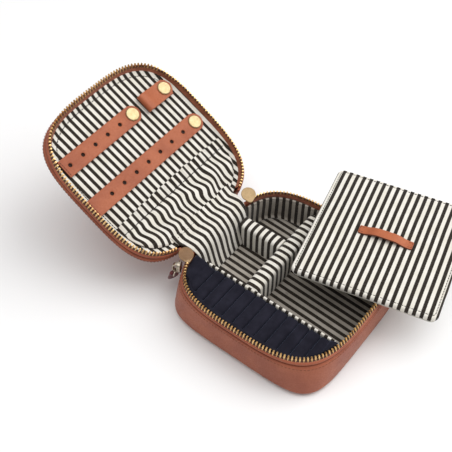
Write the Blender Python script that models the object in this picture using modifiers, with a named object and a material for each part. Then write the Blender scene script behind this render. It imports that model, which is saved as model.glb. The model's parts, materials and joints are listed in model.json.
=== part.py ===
"""A small leather jewellery case that zips around three sides, standing open.

The base is a soft square box with a ring tray, two padded dividers and three compartments. The lid
carries two punched earring straps, a folded necklace tab and a gathered pocket. A loose padded panel with
a leather pull lies across the front right corner. +Z is up, +X runs along the hinge, +Y points at the
hinge, and the origin is the centre of the bottom. Lengths are metres, written as millimetres times MM.
"""
import math

import bmesh
import bpy
from mathutils import Matrix, Vector

MM = 0.001

# Driving sizes
HALF_X = 62.0 * MM            # zip line, half its length along the hinge
HALF_Y = 62.6 * MM            # zip line, half its width
RIM_Z = 34.0 * MM             # height of the base's zip line
LID_DEPTH = 12.5 * MM         # lid's zip line to its outer face
OPEN_ANGLE = math.radians(149.0)
GAP = 0.3 * MM                # clearance between neighbouring pieces
LEATHER = 2.0 * MM
EDGE_RADIUS = 5.0 * MM        # rounded outer edges of base and lid

RIM_SQUARENESS = 3.3          # superellipse power at the zip line
BASE_SQUARENESS = 5.7         # and at the base's bottom
LID_SQUARENESS = 4.0          # and at the lid's outer face
SEGMENTS = 56                 # points round an outline

ZIP_START = math.radians(119) # the zip runs from the back left, round the front, to the back right
ZIP_END = math.radians(417)

HINGE_Y = HALF_Y + 0.6 * MM
LID_SLOPE = math.pi - OPEN_ANGLE

# Zip: the tape flares outwards up to the chain of teeth
LEATHER_TOP = 4.5 * MM        # depth of the leather's edge below the zip line
TAPE_THICKNESS = 0.8 * MM
CHAIN_THICKNESS = 1.7 * MM

# Base interior
LINING_INSET = 3.8 * MM
LINING = 1.0 * MM
FLOOR_Z = 5.6 * MM            # top of the striped floor
FILL_Z = FLOOR_Z + GAP        # where the fittings start
DIVIDER_TOP = 26.0 * MM

ROLL_COUNT = 12
ROLL_PITCH = 8.5 * MM
ROLL_RADIUS = 4.1 * MM
ROLL_Z = 25.6 * MM
ROLL_FIRST_Y = -49.25 * MM
TRAY_X = -27.6 * MM           # right-hand end of the rolls
TRAY_WALL = 1.7 * MM

CROSS_Y = (8.5 * MM, 19.5 * MM)
SHORT_X = (15.5 * MM, 25.5 * MM)

# Lid interior, as depths below the zip line
LID_FLOOR = 6.6 * MM
STRAP_WIDTH = 13.5 * MM
STRAP_THICKNESS = 1.7 * MM
STRAP_DEPTH = 6.2 * MM        # underside of the straps
HOLE_RADIUS = 1.3 * MM
LONG_PITCH = 12.4 * MM        # distance between holes
SHORT_PITCH = 12.2 * MM
LAST_HOLE = 12.8 * MM         # distance from the snap to the nearest hole
LONG_ROW = 61.9 * MM          # distance of each row from the hinge
SHORT_ROW = 94.1 * MM
LONG_START = -53.8 * MM
SHORT_START = -49.6 * MM
LONG_SNAP = 47.9 * MM
SHORT_SNAP = 13.9 * MM
TAB_SNAP = 46.9 * MM
CAP_RADIUS = 5.0 * MM

PULL_LEAN = math.radians(15)  # the pull rests against the base's fuller lower corner

# Loose panel
PANEL_SIDE = 99.0 * MM
PANEL_BOARD = 1.5 * MM
PANEL_PAD = 4.2 * MM
PANEL_TURN = math.radians(13.6)
PANEL_X = 56.0 * MM
PANEL_Y = -39.4 * MM
PANEL_Z = RIM_Z + 0.2 * MM
HANDLE_LENGTH = 40.0 * MM
HANDLE_WIDTH = 6.5 * MM
HANDLE_THICKNESS = 1.6 * MM
HANDLE_RISE = 5.0 * MM

COLOURS = {
    "tan leather": ((0.48, 0.17, 0.085), 0.55, 0.0),
    "ticking": ((0.62, 0.58, 0.48), 0.85, 0.0),
    "navy velvet": ((0.012, 0.014, 0.028), 0.95, 0.0),
    "board": ((0.42, 0.36, 0.28), 0.9, 0.0),
    "brass": ((0.62, 0.42, 0.17), 0.35, 1.0),
    "elastic": ((0.75, 0.73, 0.68), 0.9, 0.0),
    "tape": ((0.36, 0.13, 0.06), 0.8, 0.0),
}


def clear_scene():
    for old in list(bpy.data.objects):
        bpy.data.objects.remove(old, do_unlink=True)


def new_collection(name):
    collection = bpy.data.collections.new(name)
    bpy.context.scene.collection.children.link(collection)
    return collection


clear_scene()
CASE = new_collection("jewellery_case")
CUTTERS = new_collection("cutters")


def material_for(name, kind):
    colour, roughness, metallic = COLOURS[kind]
    material = bpy.data.materials.new(name + " " + kind)
    material.use_nodes = True
    shader = material.node_tree.nodes["Principled BSDF"]
    shader.inputs["Base Color"].default_value = (*colour, 1.0)
    shader.inputs["Roughness"].default_value = roughness
    shader.inputs["Metallic"].default_value = metallic
    return material


def add_object(name, mesh, kind, parent=None, smooth=True):
    part = bpy.data.objects.new(name, mesh)
    CASE.objects.link(part)
    mesh.materials.clear()
    mesh.materials.append(material_for(name, kind))
    if smooth:
        mesh.shade_smooth()
        mesh.set_sharp_from_angle(angle=math.radians(40))
    if parent:
        part.parent = parent
    return part


def add_empty(name, matrix, parent=None):
    empty = bpy.data.objects.new(name, None)
    empty.empty_display_size = 10 * MM
    CASE.objects.link(empty)
    empty.parent = parent
    empty.matrix_local = matrix
    return empty


def mesh_from(bm, name):
    bmesh.ops.recalc_face_normals(bm, faces=bm.faces)
    mesh = bpy.data.meshes.new(name)
    bm.to_mesh(mesh)
    bm.free()
    return mesh


# Outlines

BASE_SHAPE = (RIM_Z, BASE_SQUARENESS)
LID_SHAPE = (LID_DEPTH, LID_SQUARENESS)


def superellipse(angle, inset, power):
    half_x = HALF_X - inset
    half_y = HALF_Y - inset
    cosine = abs(math.cos(angle)) / half_x
    sine = abs(math.sin(angle)) / half_y
    reach = (cosine ** power + sine ** power) ** (-1 / power)
    return Vector((reach * math.cos(angle), reach * math.sin(angle), 0))


def outline_point(angle, inset, depth, shape):
    """A point of the rounded-square outline, inset from the zip line. It grows squarer away from the zip."""
    full_depth, outer_power = shape
    share = min(max(depth / full_depth, 0.0), 1.0)
    at_rim = superellipse(angle, inset, RIM_SQUARENESS)
    at_face = superellipse(angle, inset, outer_power)
    return at_rim.lerp(at_face, share)


def half_width_at(y, inset, depth, shape):
    """How far the outline reaches along X where it crosses the given Y, by halving the angle's range."""
    low, high = 0.0, math.pi / 2
    for _ in range(30):
        middle = (low + high) / 2
        if outline_point(middle, inset, depth, shape).y < abs(y):
            low = middle
        else:
            high = middle
    return outline_point(low, inset, depth, shape).x


def sweep(profile, shape, start=0.0, end=2 * math.pi, closed_profile=True):
    """Carries a profile of (inset, depth) points round the outline.

    Every quad is split along the same diagonal, so nested walls stay parallel. A closed profile makes a
    ring, or a strip with two ends where the angles stop short of a full turn. An open profile makes a dish
    or a plate: its first and last points each bound a flat face.
    """
    full = abs(end - start - 2 * math.pi) < 1e-6
    share = (end - start) / (2 * math.pi)
    count = SEGMENTS if full else max(2, round(SEGMENTS * share))
    stops = count if full else count + 1
    bm = bmesh.new()
    rows = []
    for i in range(stops):
        angle = start + (end - start) * i / count
        row = []
        for inset, depth in profile:
            point = outline_point(angle, inset, depth, shape)
            row.append(bm.verts.new((point.x, point.y, -depth)))
        rows.append(row)
    points = len(profile)
    spans = points if closed_profile else points - 1
    for i in range(stops if full else stops - 1):
        here = rows[i]
        there = rows[(i + 1) % stops]
        for j in range(spans):
            k = (j + 1) % points
            if profile[j][1] > profile[k][1]:
                bm.faces.new((here[j], here[k], there[k]))
                bm.faces.new((here[j], there[k], there[j]))
            else:
                bm.faces.new((here[j], here[k], there[j]))
                bm.faces.new((here[k], there[k], there[j]))
    if not closed_profile:
        bm.faces.new([row[0] for row in rows])
        bm.faces.new([row[-1] for row in reversed(rows)])
    elif not full:
        bm.faces.new(rows[0])
        bm.faces.new(list(reversed(rows[-1])))
    return bm


def band(start, end, thickness):
    """Four corners of a straight strip seen end on."""
    start, end = Vector(start), Vector(end)
    along = (end - start).normalized()
    across = Vector((-along.y, along.x)) * thickness / 2
    return [tuple(start + across), tuple(end + across), tuple(end - across), tuple(start - across)]


def arc(centre, radius, start, end, steps):
    points = []
    for i in range(steps + 1):
        angle = math.radians(start + (end - start) * i / steps)
        points.append((centre[0] + radius * math.cos(angle), centre[1] + radius * math.sin(angle)))
    return points


def side_leather_profile(full_depth):
    """Wall of leather that turns in under a rounded edge, as (inset, depth) points."""
    centre = (EDGE_RADIUS, full_depth - EDGE_RADIUS)
    outer = arc(centre, EDGE_RADIUS, 180, 90, 4)
    inner = arc(centre, EDGE_RADIUS - LEATHER, 90, 180, 3)
    return [(0.0, LEATHER_TOP)] + outer + inner + [(LEATHER, LEATHER_TOP)]


def plate(inset, top, bottom, shape):
    return sweep([(inset, bottom), (inset, top)], shape, closed_profile=False)


def prism(outline, low, high):
    """Upright solid on a plan outline of (x, y) points."""
    bm = bmesh.new()
    lower = [bm.verts.new((x, y, low)) for x, y in outline]
    upper = [bm.verts.new((x, y, high)) for x, y in outline]
    bm.faces.new(list(reversed(lower)))
    bm.faces.new(upper)
    for i in range(len(outline)):
        j = (i + 1) % len(outline)
        bm.faces.new((lower[i], lower[j], upper[j], upper[i]))
    return bm


def extrude_along_x(profile, left, right):
    """Solid with the given (y, z) cross-section, running from left to right."""
    bm = prism(profile, left, right)
    turn = Matrix(((0, 0, 1, 0), (1, 0, 0, 0), (0, 1, 0, 0), (0, 0, 0, 1)))
    bm.transform(turn)
    return bm


def extrude_along_y(profile, front, back):
    """Solid with the given (x, z) cross-section, running from front to back."""
    bm = prism(profile, front, back)
    turn = Matrix(((1, 0, 0, 0), (0, 0, 1, 0), (0, 1, 0, 0), (0, 0, 0, 1)))
    bm.transform(turn)
    return bm


def thick_line(points, thickness):
    """Outline of an open line of (a, b) points given the thickness, square at both ends."""
    left, right = [], []
    for i, point in enumerate(points):
        before = Vector(points[max(i - 1, 0)])
        after = Vector(points[min(i + 1, len(points) - 1)])
        along = (after - before).normalized()
        across = Vector((-along.y, along.x)) * thickness / 2
        left.append(tuple(Vector(point) + across))
        right.append(tuple(Vector(point) - across))
    return left + list(reversed(right))


# Base

def build_base():
    up = Matrix.Translation((0, 0, RIM_Z))
    rim = add_empty("base_zip_plane", up)

    def on_rim(name, bm, kind):
        return add_object(name, mesh_from(bm, name), kind, rim)

    on_rim("base_side_leather", sweep(side_leather_profile(RIM_Z), BASE_SHAPE), "tan leather")
    on_rim("base_bottom_leather", plate(EDGE_RADIUS + GAP, RIM_Z - LEATHER, RIM_Z, BASE_SHAPE), "tan leather")
    on_rim("base_floor_board", plate(4.4 * MM, RIM_Z - 4.3 * MM, RIM_Z - 2.3 * MM, BASE_SHAPE), "board")
    board = [(2.3 * MM, 7.4 * MM), (3.5 * MM, 7.4 * MM), (3.5 * MM, 28.5 * MM), (2.3 * MM, 28.5 * MM)]
    on_rim("base_wall_board", sweep(board, BASE_SHAPE), "board")

    floor = RIM_Z - FLOOR_Z
    inner = LINING_INSET + LINING
    lining = [
        (LINING_INSET + 1.2 * MM, floor + LINING),
        (LINING_INSET, floor - 0.2 * MM),
        (LINING_INSET, 7.4 * MM),
        (inner, 7.4 * MM),
        (inner, floor - 1.2 * MM),
        (inner + 1.2 * MM, floor),
    ]
    on_rim("base_lining", sweep(lining, BASE_SHAPE, closed_profile=False), "ticking")
    build_zip("base", rim, BASE_SHAPE, 6.4 * MM, ZIP_START, ZIP_END)


def build_zip(side, parent, shape, tape_depth, start, end):
    """Tape flaring out from the lining, and the chain of teeth along its edge."""
    tape = band((4.9 * MM, tape_depth), (1.9 * MM, 2.9 * MM), TAPE_THICKNESS)
    name = side + "_zip_tape"
    bm = sweep(tape, shape, start, end)
    add_object(name, mesh_from(bm, name), "tape", parent)
    chain = band((1.5 * MM, 2.4 * MM), (0.2 * MM, 0.75 * MM), CHAIN_THICKNESS)
    name = side + "_zip_chain"
    bm = sweep(chain, shape, start, end)
    add_object(name, mesh_from(bm, name), "brass", parent)


# Ring tray

def build_ring_tray():
    inset = LINING_INSET + LINING + GAP
    bed_inset = inset + 1.2 * MM
    top = ROLL_Z - ROLL_RADIUS - GAP
    depth = RIM_Z - top
    steps = 18
    back = 49.0 * MM
    front = -54.5 * MM
    outline = [(TRAY_X, back)]
    for i in range(steps + 1):
        y = back + (front - back) * i / steps
        outline.append((-half_width_at(y, bed_inset, depth, BASE_SHAPE), y))
    outline.append((TRAY_X, front))
    add_object("ring_bed", mesh_from(prism(outline, FILL_Z, top), "ring_bed"), "navy velvet")

    depth = RIM_Z - ROLL_Z - ROLL_RADIUS
    for i in range(ROLL_COUNT):
        y = ROLL_FIRST_Y + i * ROLL_PITCH
        furthest = max(abs(y - ROLL_RADIUS), abs(y + ROLL_RADIUS))
        left = -half_width_at(furthest, inset + 0.6 * MM, depth, BASE_SHAPE)
        name = "ring_roll_%02d" % (i + 1)
        profile = arc((y, ROLL_Z), ROLL_RADIUS, 0, 360 - 360 / 14, 13)
        add_object(name, mesh_from(extrude_along_x(profile, left, TRAY_X), name), "navy velvet")

    left = TRAY_X + GAP
    wall = [(left, front), (left + TRAY_WALL, front), (left + TRAY_WALL, back), (left, back)]
    mesh = mesh_from(prism(wall, FILL_Z, 30 * MM), "ring_tray_wall")
    add_object("ring_tray_wall", mesh, "ticking")


# Dividers: padded walls with rounded tops

def rounded_top(low, high, top):
    """Cross-section of a padded wall between two faces, with a half-round top."""
    radius = (high - low) / 2
    centre = ((low + high) / 2, top - radius)
    return [(high, FILL_Z)] + arc(centre, radius, 0, 180, 8) + [(low, FILL_Z)]


def build_dividers():
    left = TRAY_X + GAP + TRAY_WALL + GAP
    right = 55.6 * MM
    bm = extrude_along_x(rounded_top(*CROSS_Y, DIVIDER_TOP), left, right)
    add_object("cross_divider", mesh_from(bm, "cross_divider"), "ticking")

    front = CROSS_Y[1] + GAP
    foot = 49.0 * MM
    head = 53.5 * MM
    bm = extrude_along_y(rounded_top(*SHORT_X, DIVIDER_TOP), front, foot)
    for vertex in bm.verts:
        if vertex.co.y > (front + foot) / 2:
            share = (vertex.co.z - FILL_Z) / (DIVIDER_TOP - FILL_Z)
            vertex.co.y = foot + (head - foot) * share
    add_object("short_divider", mesh_from(bm, "short_divider"), "ticking")


# Hinge: a leather spine outside, the striped lining inside, and a leather tab over each end of the zip

def lid_point(u, w):
    """World (y, z) of a point u from the hinge and w above the lid's zip plane."""
    y = HINGE_Y + u * math.cos(LID_SLOPE) - w * math.sin(LID_SLOPE)
    z = RIM_Z + u * math.sin(LID_SLOPE) + w * math.cos(LID_SLOPE)
    return y, z


def build_hinge():
    spine = [
        (HALF_Y + 0.75 * MM, 24 * MM),
        (HALF_Y + 0.75 * MM, 31.0 * MM),
        (HALF_Y + 1.5 * MM, 32.0 * MM),
        lid_point(-0.15 * MM, -3.2 * MM),
        lid_point(-0.15 * MM, -9.0 * MM),
    ]
    bm = extrude_along_x(thick_line(spine, 0.8 * MM), -27 * MM, 27 * MM)
    add_object("hinge_spine", mesh_from(bm, "hinge_spine"), "tan leather")

    fold = [
        lid_point(12.2 * MM, -6.0 * MM),
        lid_point(6.4 * MM, -5.6 * MM),
        lid_point(3.7 * MM, -3.1 * MM),
        (62.2 * MM, 33.3 * MM),
        (59.6 * MM, 31.6 * MM),
        (55.9 * MM, 27.4 * MM),
        (53.8 * MM, 20.0 * MM),
        (50.3 * MM, 6.4 * MM),
    ]
    bm = extrude_along_x(thick_line(fold, 0.8 * MM), -25.1 * MM, 27 * MM)
    add_object("hinge_lining", mesh_from(bm, "hinge_lining"), "ticking")

    for side, x, radius in (("left", -33.0 * MM, 5.9 * MM), ("right", 36.5 * MM, 6.6 * MM)):
        name = "zip_end_tab_" + side
        disc = bmesh.new()
        size = {"radius1": radius, "radius2": radius, "depth": 1.4 * MM}
        bmesh.ops.create_cone(disc, cap_ends=True, segments=20, **size)
        disc.transform(Matrix.Rotation(LID_SLOPE / 2, 4, "X"))
        part = add_object(name, mesh_from(disc, name), "tan leather")
        part.location = (x, HINGE_Y - 1.6 * MM, RIM_Z + 2.4 * MM)


# Zip slider, its ring and its leather pull

def wire_loop(name, width, height, wire):
    """Rounded rectangle of wire in the local YZ plane, hanging from the origin."""
    curve = bpy.data.curves.new(name + "_path", "CURVE")
    curve.dimensions = "3D"
    curve.bevel_depth = wire
    curve.bevel_resolution = 2
    corner = 1.2 * MM
    points = []
    for sign_y, sign_z, start in ((1, -1, 270), (1, 1, 0), (-1, 1, 90), (-1, -1, 180)):
        centre = (sign_y * (width / 2 - corner), (-height / 2) + sign_z * (height / 2 - corner))
        points += arc(centre, corner, start, start + 90, 3)
    spline = curve.splines.new("POLY")
    spline.points.add(len(points) - 1)
    for target, (y, z) in zip(spline.points, points):
        target.co = (0, y, z, 1)
    spline.use_cyclic_u = True
    holder = bpy.data.objects.new(name + "_curve", curve)
    CASE.objects.link(holder)
    depsgraph = bpy.context.evaluated_depsgraph_get()
    mesh = bpy.data.meshes.new_from_object(holder.evaluated_get(depsgraph))
    bpy.data.objects.remove(holder, do_unlink=True)
    bm = bmesh.new()
    bm.from_mesh(mesh)
    bmesh.ops.remove_doubles(bm, verts=bm.verts, dist=1e-6)
    bpy.data.meshes.remove(mesh)
    return mesh_from(bm, name)


def build_slider():
    """Slider outside the back left corner. Its local X points away from the wall, its local Y along it."""
    angle = math.radians(125)
    point = outline_point(angle, 0.0, 6 * MM, BASE_SHAPE)
    normal = math.radians(114)
    frame = Matrix.Translation((point.x, point.y, 0)) @ Matrix.Rotation(normal, 4, "Z")
    slider_axis = add_empty("slider_frame", frame)

    body = bmesh.new()
    bmesh.ops.create_cube(body, size=1)
    body.transform(Matrix.Diagonal((2.6 * MM, 7.0 * MM, 7.5 * MM, 1)))
    bmesh.ops.bevel(body, geom=body.edges[:], offset=0.7 * MM, segments=2, affect="EDGES")
    body.transform(Matrix.Translation((2.0 * MM, 0, 29.2 * MM)))
    slider = add_object("zip_slider", mesh_from(body, "zip_slider"), "brass", slider_axis)

    eye_centre = (4.4 * MM, 27.6 * MM)
    rings = []
    for radius in (2.1 * MM, 1.15 * MM):
        rings.append(arc(eye_centre, radius, 0, 360 - 360 / 14, 13))
    eye_bm = bmesh.new()
    sides = []
    for y in (-1.3 * MM, 1.3 * MM):
        sides.append([[eye_bm.verts.new((x, y, z)) for x, z in ring] for ring in rings])
    count = len(rings[0])
    for i in range(count):
        j = (i + 1) % count
        (front_out, front_in), (back_out, back_in) = sides
        eye_bm.faces.new((front_out[i], front_out[j], back_out[j], back_out[i]))
        eye_bm.faces.new((front_in[i], back_in[i], back_in[j], front_in[j]))
        eye_bm.faces.new((front_out[i], front_in[i], front_in[j], front_out[j]))
        eye_bm.faces.new((back_out[i], back_out[j], back_in[j], back_in[i]))
    eye = bpy.data.objects.new("slider_eye", mesh_from(eye_bm, "slider_eye"))
    CUTTERS.objects.link(eye)
    eye.parent = slider_axis
    eye.hide_render = True
    eye.display_type = "WIRE"
    join = slider.modifiers.new("eye", "BOOLEAN")
    join.operation = "UNION"
    join.object = eye
    join.solver = "EXACT"

    lean = Matrix.Rotation(-PULL_LEAN, 4, "Y")
    eye_place = Matrix.Translation((eye_centre[0], 0, eye_centre[1]))
    pull_axis = add_empty("pull_axis", eye_place @ lean, slider_axis)
    wire = 0.55 * MM
    ring = wire_loop("pull_ring", 10.0 * MM, 6.6 * MM, wire)
    ring.transform(Matrix.Translation((0, 0, 0.45 * MM)))
    add_object("pull_ring", ring, "brass", pull_axis)

    eye_z = -6.15 * MM
    loop_radius = 1.5 * MM
    inner_radius = 0.85 * MM
    length = 16 * MM
    outer = arc((0, eye_z), loop_radius, -50, 230, 12)
    inner = arc((0, eye_z), inner_radius, 0, 360 - 360 / 10, 9)
    tail = eye_z - length
    half = 0.9 * MM
    outline = outer + [(-half, eye_z - 2.6 * MM), (-half, tail), (half, tail), (half, eye_z - 2.6 * MM)]
    flat = bpy.data.curves.new("pull_outline", "CURVE")
    flat.dimensions = "2D"
    flat.fill_mode = "BOTH"
    flat.extrude = 3.9 * MM
    for loop in (outline, inner):
        spline = flat.splines.new("POLY")
        spline.points.add(len(loop) - 1)
        for target, (x, z) in zip(spline.points, loop):
            target.co = (x, z, 0, 1)
        spline.use_cyclic_u = True
    mesh = flat_mesh(flat, "pull_leather")
    mesh.transform(Matrix.Rotation(math.radians(90), 4, "X"))
    add_object("pull_leather", mesh, "tan leather", pull_axis)


def flat_mesh(curve, name):
    """Closed mesh of a filled, extruded 2D curve."""
    holder = bpy.data.objects.new(name + "_curve", curve)
    CASE.objects.link(holder)
    depsgraph = bpy.context.evaluated_depsgraph_get()
    mesh = bpy.data.meshes.new_from_object(holder.evaluated_get(depsgraph))
    bpy.data.objects.remove(holder, do_unlink=True)
    bm = bmesh.new()
    bm.from_mesh(mesh)
    bmesh.ops.remove_doubles(bm, verts=bm.verts, dist=1e-6)
    bpy.data.meshes.remove(mesh)
    return mesh_from(bm, name)


# Lid

def build_lid():
    hinge_line = Matrix.Translation((0, HINGE_Y, RIM_Z))
    hinge = add_empty("lid_hinge", hinge_line @ Matrix.Rotation(LID_SLOPE, 4, "X"))
    centre = add_empty("lid_zip_plane", Matrix.Translation((0, HINGE_Y, 0)), hinge)

    def in_lid(name, bm, kind):
        return add_object(name, mesh_from(bm, name), kind, centre)

    in_lid("lid_side_leather", sweep(side_leather_profile(LID_DEPTH), LID_SHAPE), "tan leather")
    face = plate(EDGE_RADIUS + GAP, LID_DEPTH - LEATHER, LID_DEPTH, LID_SHAPE)
    in_lid("lid_top_leather", face, "tan leather")
    in_lid("lid_board", plate(4.2 * MM, 8.4 * MM, 10.2 * MM, LID_SHAPE), "board")
    in_lid("lid_lining", plate(3.0 * MM, LID_FLOOR, 8.1 * MM, LID_SHAPE), "ticking")
    build_zip("lid", centre, LID_SHAPE, 5.7 * MM, -ZIP_END, -ZIP_START)
    build_pocket(hinge)
    build_straps(hinge)
    build_tab(hinge)


def build_pocket(hinge):
    inset = 6.4 * MM
    seam, mouth = 13 * MM, 46 * MM
    steps = 10
    left, right = [], []
    for i in range(steps + 1):
        u = seam + (mouth - seam) * i / steps
        half = half_width_at(HINGE_Y - u, inset, 5 * MM, LID_SHAPE)
        left.append((-half, u))
        right.append((half, u))
    outline = right + list(reversed(left))
    mesh = mesh_from(prism(outline, -5.0 * MM, -3.8 * MM), "lid_pocket")
    add_object("lid_pocket", mesh, "ticking", hinge)
    half = 52 * MM
    strip = [(-half, 34 * MM), (half, 34 * MM), (half, 38 * MM), (-half, 38 * MM)]
    mesh = mesh_from(prism(strip, -6.2 * MM, -5.4 * MM), "pocket_elastic")
    add_object("pocket_elastic", mesh, "elastic", hinge)


def strap_mesh(name, length, snap_at, holes):
    """Strap lying along +X from its sewn end at the origin, with a round free end."""
    half = STRAP_WIDTH / 2
    nose = arc((length - half, 0), half, -90, 90, 10)
    loops = [[(0, -half)] + nose + [(0, half)]]
    for x in holes:
        loops.append(arc((x, 0), HOLE_RADIUS, 0, 360 - 36, 9))
    loops.append(arc((snap_at, 0), 2.8 * MM, 0, 360 - 30, 11))
    curve = bpy.data.curves.new(name + "_outline", "CURVE")
    curve.dimensions = "2D"
    curve.fill_mode = "BOTH"
    curve.extrude = STRAP_THICKNESS / 2
    for loop in loops:
        spline = curve.splines.new("POLY")
        spline.points.add(len(loop) - 1)
        for target, (x, y) in zip(spline.points, loop):
            target.co = (x, y, 0, 1)
        spline.use_cyclic_u = True
    mesh = flat_mesh(curve, name)
    mesh.transform(Matrix.Translation((0, 0, STRAP_THICKNESS / 2)))
    return mesh


def turned(name, profile, steps):
    """Solid of revolution about Z from an (r, z) profile that runs down the outside."""
    mesh = bpy.data.meshes.new(name)
    points = [(r, 0, z) for r, z in profile]
    edges = [(i, i + 1) for i in range(len(points) - 1)]
    mesh.from_pydata(points, edges, [])
    holder = bpy.data.objects.new(name + "_profile", mesh)
    CASE.objects.link(holder)
    screw = holder.modifiers.new("turn", "SCREW")
    screw.steps = steps
    screw.render_steps = steps
    screw.use_merge_vertices = True
    screw.merge_threshold = 0.00001
    depsgraph = bpy.context.evaluated_depsgraph_get()
    result = bpy.data.meshes.new_from_object(holder.evaluated_get(depsgraph))
    bpy.data.objects.remove(holder, do_unlink=True)
    bm = bmesh.new()
    bm.from_mesh(result)
    bmesh.ops.remove_doubles(bm, verts=bm.verts, dist=1e-6)
    bpy.data.meshes.remove(result)
    return mesh_from(bm, name)


def add_snap(which, x, u, underside, strap_parent, strap_offset, lid_parent):
    """Cap with its socket on the strap, and the stud under it on the lid.

    Heights are from the strap's underside.
    """
    cap_profile = [(0, 3.5), (2.2, 3.35), (3.9, 2.95), (4.8, 2.4), (5.0, 2.0)]
    cap_profile += [(2.45, 2.0), (2.45, 0.3), (1.95, 0.3), (1.95, 1.9), (0, 1.9)]
    name = "snap_cap_" + which
    profile = [(r * MM * CAP_RADIUS / (5.0 * MM), z * MM) for r, z in cap_profile]
    cap = add_object(name, turned(name, profile, 20), "brass", strap_parent)
    cap.location = strap_offset
    stud_profile = [(0, 1.4), (1.3, 1.4), (1.6, 1.1), (1.6, -0.1), (0, -0.1)]
    name = "snap_stud_" + which
    stud_mesh = turned(name, [(r * MM, z * MM) for r, z in stud_profile], 12)
    stud = add_object(name, stud_mesh, "brass", lid_parent)
    stud.location = (x, u, underside)


def build_straps(hinge):
    rows = (
        ("long", LONG_START, LONG_ROW, LONG_SNAP, LONG_PITCH, 7),
        ("short", SHORT_START, SHORT_ROW, SHORT_SNAP, SHORT_PITCH, 5),
    )
    for which, start, row, snap_x, pitch, holes in rows:
        snap_at = snap_x - start
        axis = add_empty("strap_%s_hinge" % which, Matrix.Translation((start, row, -STRAP_DEPTH)), hinge)
        places = [snap_at - LAST_HOLE - pitch * i for i in range(holes)]
        name = "strap_" + which
        length = snap_at + STRAP_WIDTH / 2
        add_object(name, strap_mesh(name, length, snap_at, places), "tan leather", axis)
        add_snap(which, snap_x, row, -STRAP_DEPTH, axis, (snap_at, 0, 0), hinge)


def build_tab(hinge):
    """Folded tab: a lower layer sewn to the lid and a flap that curls round the fold and snaps down on it."""
    half = STRAP_WIDTH / 2
    fold_x, fold_w = 27.5 * MM, -3.1 * MM
    underside = -4.6 * MM
    lower_end = TAB_SNAP + 5.0 * MM
    lower = [(fold_x + 3.4 * MM, -6.3 * MM), (lower_end, -6.3 * MM), (lower_end, -5.0 * MM)]
    lower.append((fold_x + 3.4 * MM, -5.0 * MM))
    bm = extrude_along_y(lower, SHORT_ROW - half, SHORT_ROW + half)
    add_object("tab_lower_layer", mesh_from(bm, "tab_lower_layer"), "tan leather", hinge)

    axis = add_empty("tab_hinge", Matrix.Translation((fold_x, SHORT_ROW, fold_w)), hinge)
    radius = 2.0 * MM
    curl = arc((0, 0), radius, 290, 90, 8)
    snap_at = TAB_SNAP - fold_x
    end = snap_at + half
    level = underside - fold_w + STRAP_THICKNESS / 2
    line = curl + [(snap_at * 0.35, level + 2.2 * MM), (snap_at * 0.7, level + 0.3 * MM)]
    line += [(snap_at - 4 * MM, level), (end, level)]
    flap = extrude_along_y(thick_line(line, STRAP_THICKNESS), -half, half)
    mesh = mesh_from(flap, "necklace_tab")
    tab = add_object("necklace_tab", mesh, "tan leather", axis)
    add_cut(tab, axis, snap_at, end, half, underside - fold_w)
    add_snap("tab", TAB_SNAP, SHORT_ROW, underside, axis, (snap_at, 0, underside - fold_w), hinge)


def add_cut(tab, axis, snap_at, end, half, underside):
    """Cuts the flap's socket hole and rounds its free end."""
    hole = bmesh.new()
    bmesh.ops.create_cone(hole, cap_ends=True, segments=12, radius1=2.8 * MM, radius2=2.8 * MM, depth=8 * MM)
    hole.transform(Matrix.Translation((snap_at, 0, underside)))
    add_cutter(tab, "tab_hole", mesh_from(hole, "tab_hole"), axis, "DIFFERENCE")
    reach = end + half
    nose = arc((end - half, 0), half, 90, -90, 10)
    outside = [(end - half, half + 3 * MM)] + nose + [(end - half, -half - 3 * MM)]
    outside += [(reach, -half - 3 * MM), (reach, half + 3 * MM)]
    bm = prism(list(reversed(outside)), -6 * MM, 6 * MM)
    add_cutter(tab, "tab_nose", mesh_from(bm, "tab_nose"), axis, "DIFFERENCE")


def add_cutter(part, name, mesh, parent, operation):
    cutter = bpy.data.objects.new(name, mesh)
    CUTTERS.objects.link(cutter)
    cutter.parent = parent
    cutter.hide_render = True
    cutter.display_type = "WIRE"
    cut = part.modifiers.new(name, "BOOLEAN")
    cut.operation = operation
    cut.object = cutter
    cut.solver = "EXACT"


# Loose panel

def rounded_square(side, corner, steps):
    half = side / 2
    points = []
    for sign_x, sign_y, start in ((1, 1, 0), (-1, 1, 90), (-1, -1, 180), (1, -1, 270)):
        centre = (sign_x * (half - corner), sign_y * (half - corner))
        points += arc(centre, corner, start, start + 90, steps)
    return points


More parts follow.
